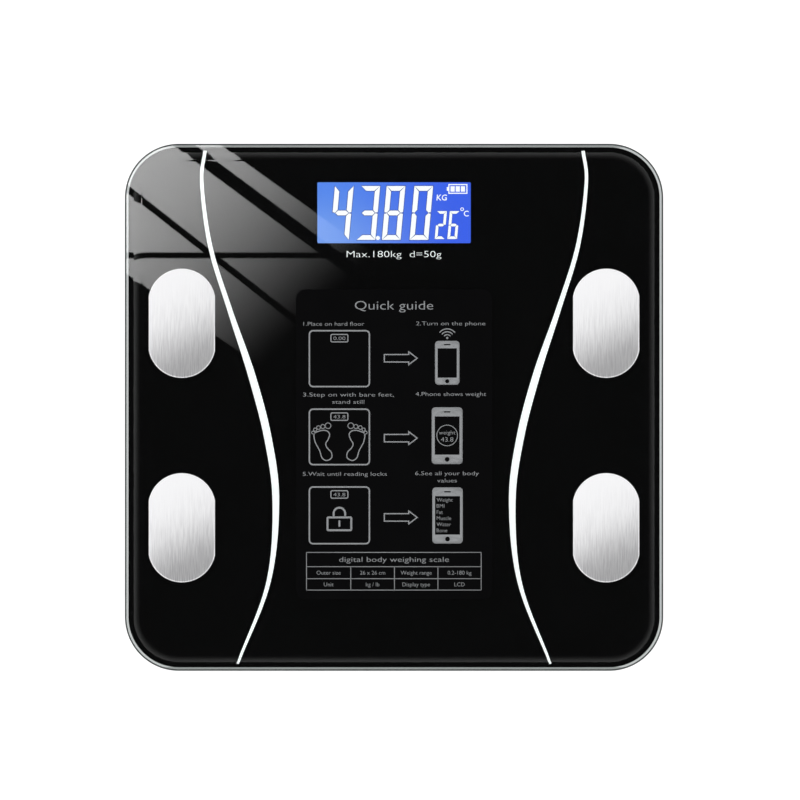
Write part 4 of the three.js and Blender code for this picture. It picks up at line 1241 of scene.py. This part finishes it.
RING_RADIUS, RING_HOLE, RING_THICKNESS = 3.7, 2.3, 0.5
TONGUE_START, TONGUE_END, TONGUE_HALF = 3, 9.5, 1.2
CRIMP_START, CRIMP_DEPTH = 4.6, 1.9


def ring_terminal(lead, x, y, side):
    """A ring round the stud, and a tongue with its sleeved crimp, which point away from that side."""
    lead.plate(circle(RING_RADIUS, (x, y), 40), Z_PRINT_LOW - RING_THICKNESS, Z_PRINT_LOW,
               [circle(RING_HOLE, (x, y), 32)])
    near, far = sorted((x - side * TONGUE_START, x - side * TONGUE_END))
    lead.box(near, far, y - TONGUE_HALF, y + TONGUE_HALF, Z_PRINT_LOW - RING_THICKNESS,
             Z_PRINT_LOW - 0.02, 0.05)
    near, far = sorted((x - side * CRIMP_START, x - side * TONGUE_END))
    lead.box(near, far, y - TONGUE_HALF, y + TONGUE_HALF, Z_PRINT_LOW - CRIMP_DEPTH,
             Z_PRINT_LOW - 0.1, 0.3)


def wiring():
    """Round wires on smooth curves through their routes; each electrode lead ends in a ring terminal."""
    for name, end, sx, _ in CORNERS:
        flip = (sx, 1, 1)
        lead = Shell().tube(smooth_path(ELECTRODE_ROUTES[end], 8) * flip, WIRE_RADIUS)
        ring_terminal(lead, sx * ELECTRODE_X, ELECTRODE_Y[end], sx)
        piece(f"lead_{name}", lead, "platform", LOOKS["black_pvc"], [f"electrode_lead_{name}"])
        cable = Shell().tube(smooth_path(CELL_CABLE_ROUTES[end], 8) * flip, CABLE_RADIUS)
        piece(f"cell_cable_{name}", cable, "platform", LOOKS["white_pvc"], [f"load_cell_cable_{name}"])
    for sign, colour in (("positive", "red_pvc"), ("negative", "black_pvc")):
        lead = Shell().tube(smooth_path(BATTERY_ROUTES[sign], 8), WIRE_RADIUS)
        piece(f"cell_lead_{sign}", lead, "platform", LOOKS[colour], [f"battery_lead_{sign}"])


def finish_cad_nodes():
    """CAD nodes that keep their own shape get the material of their slot."""
    slots = {part["node"]: part["material_slot"] for part in frame["record"]["subparts"]}
    for node, made in frame["nodes"].items():
        if made.hide_render:
            continue
        for place in made.material_slots:
            place.material = LOOKS[slots[node]]


# ---- Stage ---------------------------------------------------------------------------------------
CAMERA_X, CAMERA_Y, VIEW_WIDTH = 2.88, 3.53, 386.5
SPOT_START, SPOT_END, LOW_START, LOW_END = 2, 32, 45, 62
SPOT_LIGHT, DOME_LIGHT, LOW_LIGHT, BELOW_LIGHT, SIDE_LIGHT = 0.03, 1.4, 0.4, 1.5, 0.25
CARD_HEIGHT, CARD_MARGIN = 400, 150
CARD_THROW = 1 + CARD_HEIGHT * 4 * RIM_DROP / (SHOULDER_END - SHOULDER_START) ** 2


def camera():
    """Straight down on the platform, without perspective."""
    view = bpy.data.cameras.new("camera")
    view.type = "ORTHO"
    view.ortho_scale = VIEW_WIDTH * MM
    made = bpy.data.objects.new("camera", view)
    made.location = (CAMERA_X * MM, CAMERA_Y * MM, 1.0)
    bpy.context.scene.collection.objects.link(made)
    bpy.context.scene.camera = made


def dome():
    """A pale sky, brighter to the upper left, that darkens towards the zenith and the horizon."""
    world = bpy.data.worlds.new("dome")
    bpy.context.scene.world = world
    world.use_nodes = True
    paint = Paint(world.node_tree)
    direction = paint.node("ShaderNodeTexCoord", output="Generated")

    def along(vector):
        return paint.node("ShaderNodeVectorMath", {"operation": "DOT_PRODUCT"}, {0: direction, 1: vector},
                          output="Value")

    angle = paint.maths("ARCCOSINE", along((0, 0, 1)))
    light = paint.ramp(angle, math.radians(SPOT_START), math.radians(SPOT_END), SPOT_LIGHT, DOME_LIGHT)
    light = light - paint.ramp(angle, math.radians(LOW_START), math.radians(LOW_END),
                               0, DOME_LIGHT - LOW_LIGHT)
    light = light + paint.ramp(angle, math.radians(90), math.radians(92), 0, BELOW_LIGHT - LOW_LIGHT)
    side = along((-math.sqrt(0.5), math.sqrt(0.5), 0)) * SIDE_LIGHT + 1
    background = paint.node("ShaderNodeBackground", None, {"Color": (1, 1, 1, 1), "Strength": light * side})
    paint.node("ShaderNodeOutputWorld", None, {"Surface": background})


def staged_sheet(name, half_x, half_y, z, look):
    """A flat rectangle that belongs to the stage."""
    mesh = bpy.data.meshes.new(name)
    mesh.from_pydata((lifted(rectangle(-half_x, half_x, -half_y, half_y), z) * MM).tolist(), [], [range(4)])
    mesh.materials.append(look)
    made = bpy.data.objects.new(name, mesh)
    bpy.context.scene.collection.objects.link(made)
    return made


def stage_look(name, write):
    """A stage material: write(paint) returns the shader."""
    look = bpy.data.materials.new(name)
    look.use_nodes = True
    paint = Paint(look.node_tree)
    paint.node("ShaderNodeOutputMaterial", None, {"Surface": write(paint)})
    return look


def floor():
    """A plain pale floor, clear from below so that the underside can be looked at."""
    def write(paint):
        top = paint.node("ShaderNodeBsdfPrincipled", None, {
            "Base Color": (0.5, 0.5, 0.5, 1), "Roughness": 0.9, "Specular IOR Level": 0.0,
            "Emission Color": (1, 1, 1, 1), "Emission Strength": 0.8})
        clear = paint.node("ShaderNodeBsdfTransparent", None, {"Color": (1, 1, 1, 1)})
        below = paint.node("ShaderNodeNewGeometry", output="Backfacing")
        return paint.node("ShaderNodeMixShader", None, {0: below, 1: top, 2: clear})
    staged_sheet("floor", 6000, 6000, -0.2, stage_look("floor", write))


# The mirrored window on the glass: its two long sides, each with the window on its left, its bars
# with their widths, and the distances along the diagonal between which it fades.
WINDOW_SIDES = [((3.1, 64.7), (-81.5, 125.1)), ((-127.4, 63.3), (-47.6, 8.2))]
WINDOW_BARS = [((-99.3, 125.1), (-11.4, 59.9), 6.4), ((-127.4, 104.4), (-49.6, 43.5), 3.3),
               ((-127, 73.4), (-36.5, 73.4), 2.9)]
WINDOW_SOFT, WINDOW_GLOW = 1.0, 8.3
FADE_START, FADE_END = -178, -58


def from_line(x, y, start, end):
    """The signed distance from the line from start to end, growing to its left."""
    along = np.subtract(end, start) / np.linalg.norm(np.subtract(end, start))
    return (x - start[0]) * -along[1] + (y - start[1]) * along[0]


def step_across(paint, x, y, start, end, soft):
    """0 on the right of the line from start to end, going smoothly to 1 over soft."""
    return paint.ramp(from_line(x, y, start, end), -soft / 2, soft / 2)


def clear_of_line(paint, x, y, start, end, width):
    """0 on a bar of that width along the line, going smoothly to 1 on both sides."""
    distance = paint.maths("ABSOLUTE", from_line(x, y, start, end))
    return paint.ramp(distance, (width - WINDOW_SOFT) / 2, (width + WINDOW_SOFT) / 2)


def place_on_glass(paint, x, y):
    """Where the glass shows each point of the card to an eye right above it. Within the outline that is
    the point itself. Beyond it is a point on the rounded shoulder, which spreads its mirror picture
    evenly outwards by CARD_THROW."""
    sides = [paint.maths("ABSOLUTE", value) for value in (x, y)]
    cores = [paint.maths("MINIMUM", side, half - GLASS_RADIUS) for side, half in zip(sides, (HALF_X, HALF_Y))]
    past_x, past_y = sides[0] - cores[0], sides[1] - cores[1]
    reach = paint.maths("SQRT", past_x * past_x + past_y * past_y)
    start = GLASS_RADIUS - SHOULDER_END
    shown = (reach - start) * (1 / CARD_THROW) + start
    beyond = paint.maths("GREATER_THAN", reach, GLASS_RADIUS)
    scale = (paint.maths("DIVIDE", shown, reach) - 1) * beyond + 1
    return (paint.maths("SIGN", x) * (cores[0] + past_x * scale),
            paint.maths("SIGN", y) * (cores[1] + past_y * scale))


def window_light(paint):
    """A bright window with bars, fading away from the upper left corner."""
    axes = paint.axes()
    x, y = place_on_glass(paint, axes[0] * (1 / MM), axes[1] * (1 / MM))
    upper, lower = [step_across(paint, x, y, start, end, WINDOW_SOFT) for start, end in WINDOW_SIDES]
    glow = upper * lower
    for start, end, width in WINDOW_BARS:
        glow = glow * clear_of_line(paint, x, y, start, end, width)
    fade = (x - y) * (1 / math.sqrt(2))
    polished = paint.node("ShaderNodeLightPath", output="Is Singular Ray")
    glow = glow * paint.ramp(fade, FADE_START, FADE_END, WINDOW_GLOW, 0) * polished
    light = paint.node("ShaderNodeEmission", None, {"Color": (1, 1, 1, 1), "Strength": glow})
    clear = paint.node("ShaderNodeBsdfTransparent", None, {"Color": (1, 1, 1, 1)})
    return paint.node("ShaderNodeAddShader", None, {0: light, 1: clear})


def window_card():
    """A clear sheet high above, which only polished glass sees. Seen from right above, it lays the
    window on the glass at its own size."""
    card = staged_sheet("window_card", HALF_X + CARD_MARGIN, HALF_Y + CARD_MARGIN, Z_TOP + CARD_HEIGHT,
                        stage_look("window_light", window_light))
    card.visible_camera = False
    card.visible_diffuse = False
    card.visible_transmission = False
    card.visible_volume_scatter = False
    card.visible_shadow = False


# ---- Assembly ------------------------------------------------------------------------------------
camera()
dome()
floor()
window_card()
bpy.context.scene.view_settings.view_transform = "Standard"

glass_platform()
back_print()
white_stripe(-1)
white_stripe(1)
rating_print()
label_sheet()
label_art()
for corner, plate_x, plate_y in electrode_places():
    electrode(corner, plate_x, plate_y)
lcd_panel()
lcd_readout()
base_tray()
for corner, _, side_x, side_y in CORNERS:
    foot_pad(corner, side_x * FOOT_X, side_y * FOOT_Y)
    foot_cup(corner, side_x * FOOT_X, side_y * FOOT_Y)
unit_button()
battery_cover()
battery_cell(1, 1)
battery_cell(2, -1)
battery_contacts()
wiring()
finish_cad_nodes()
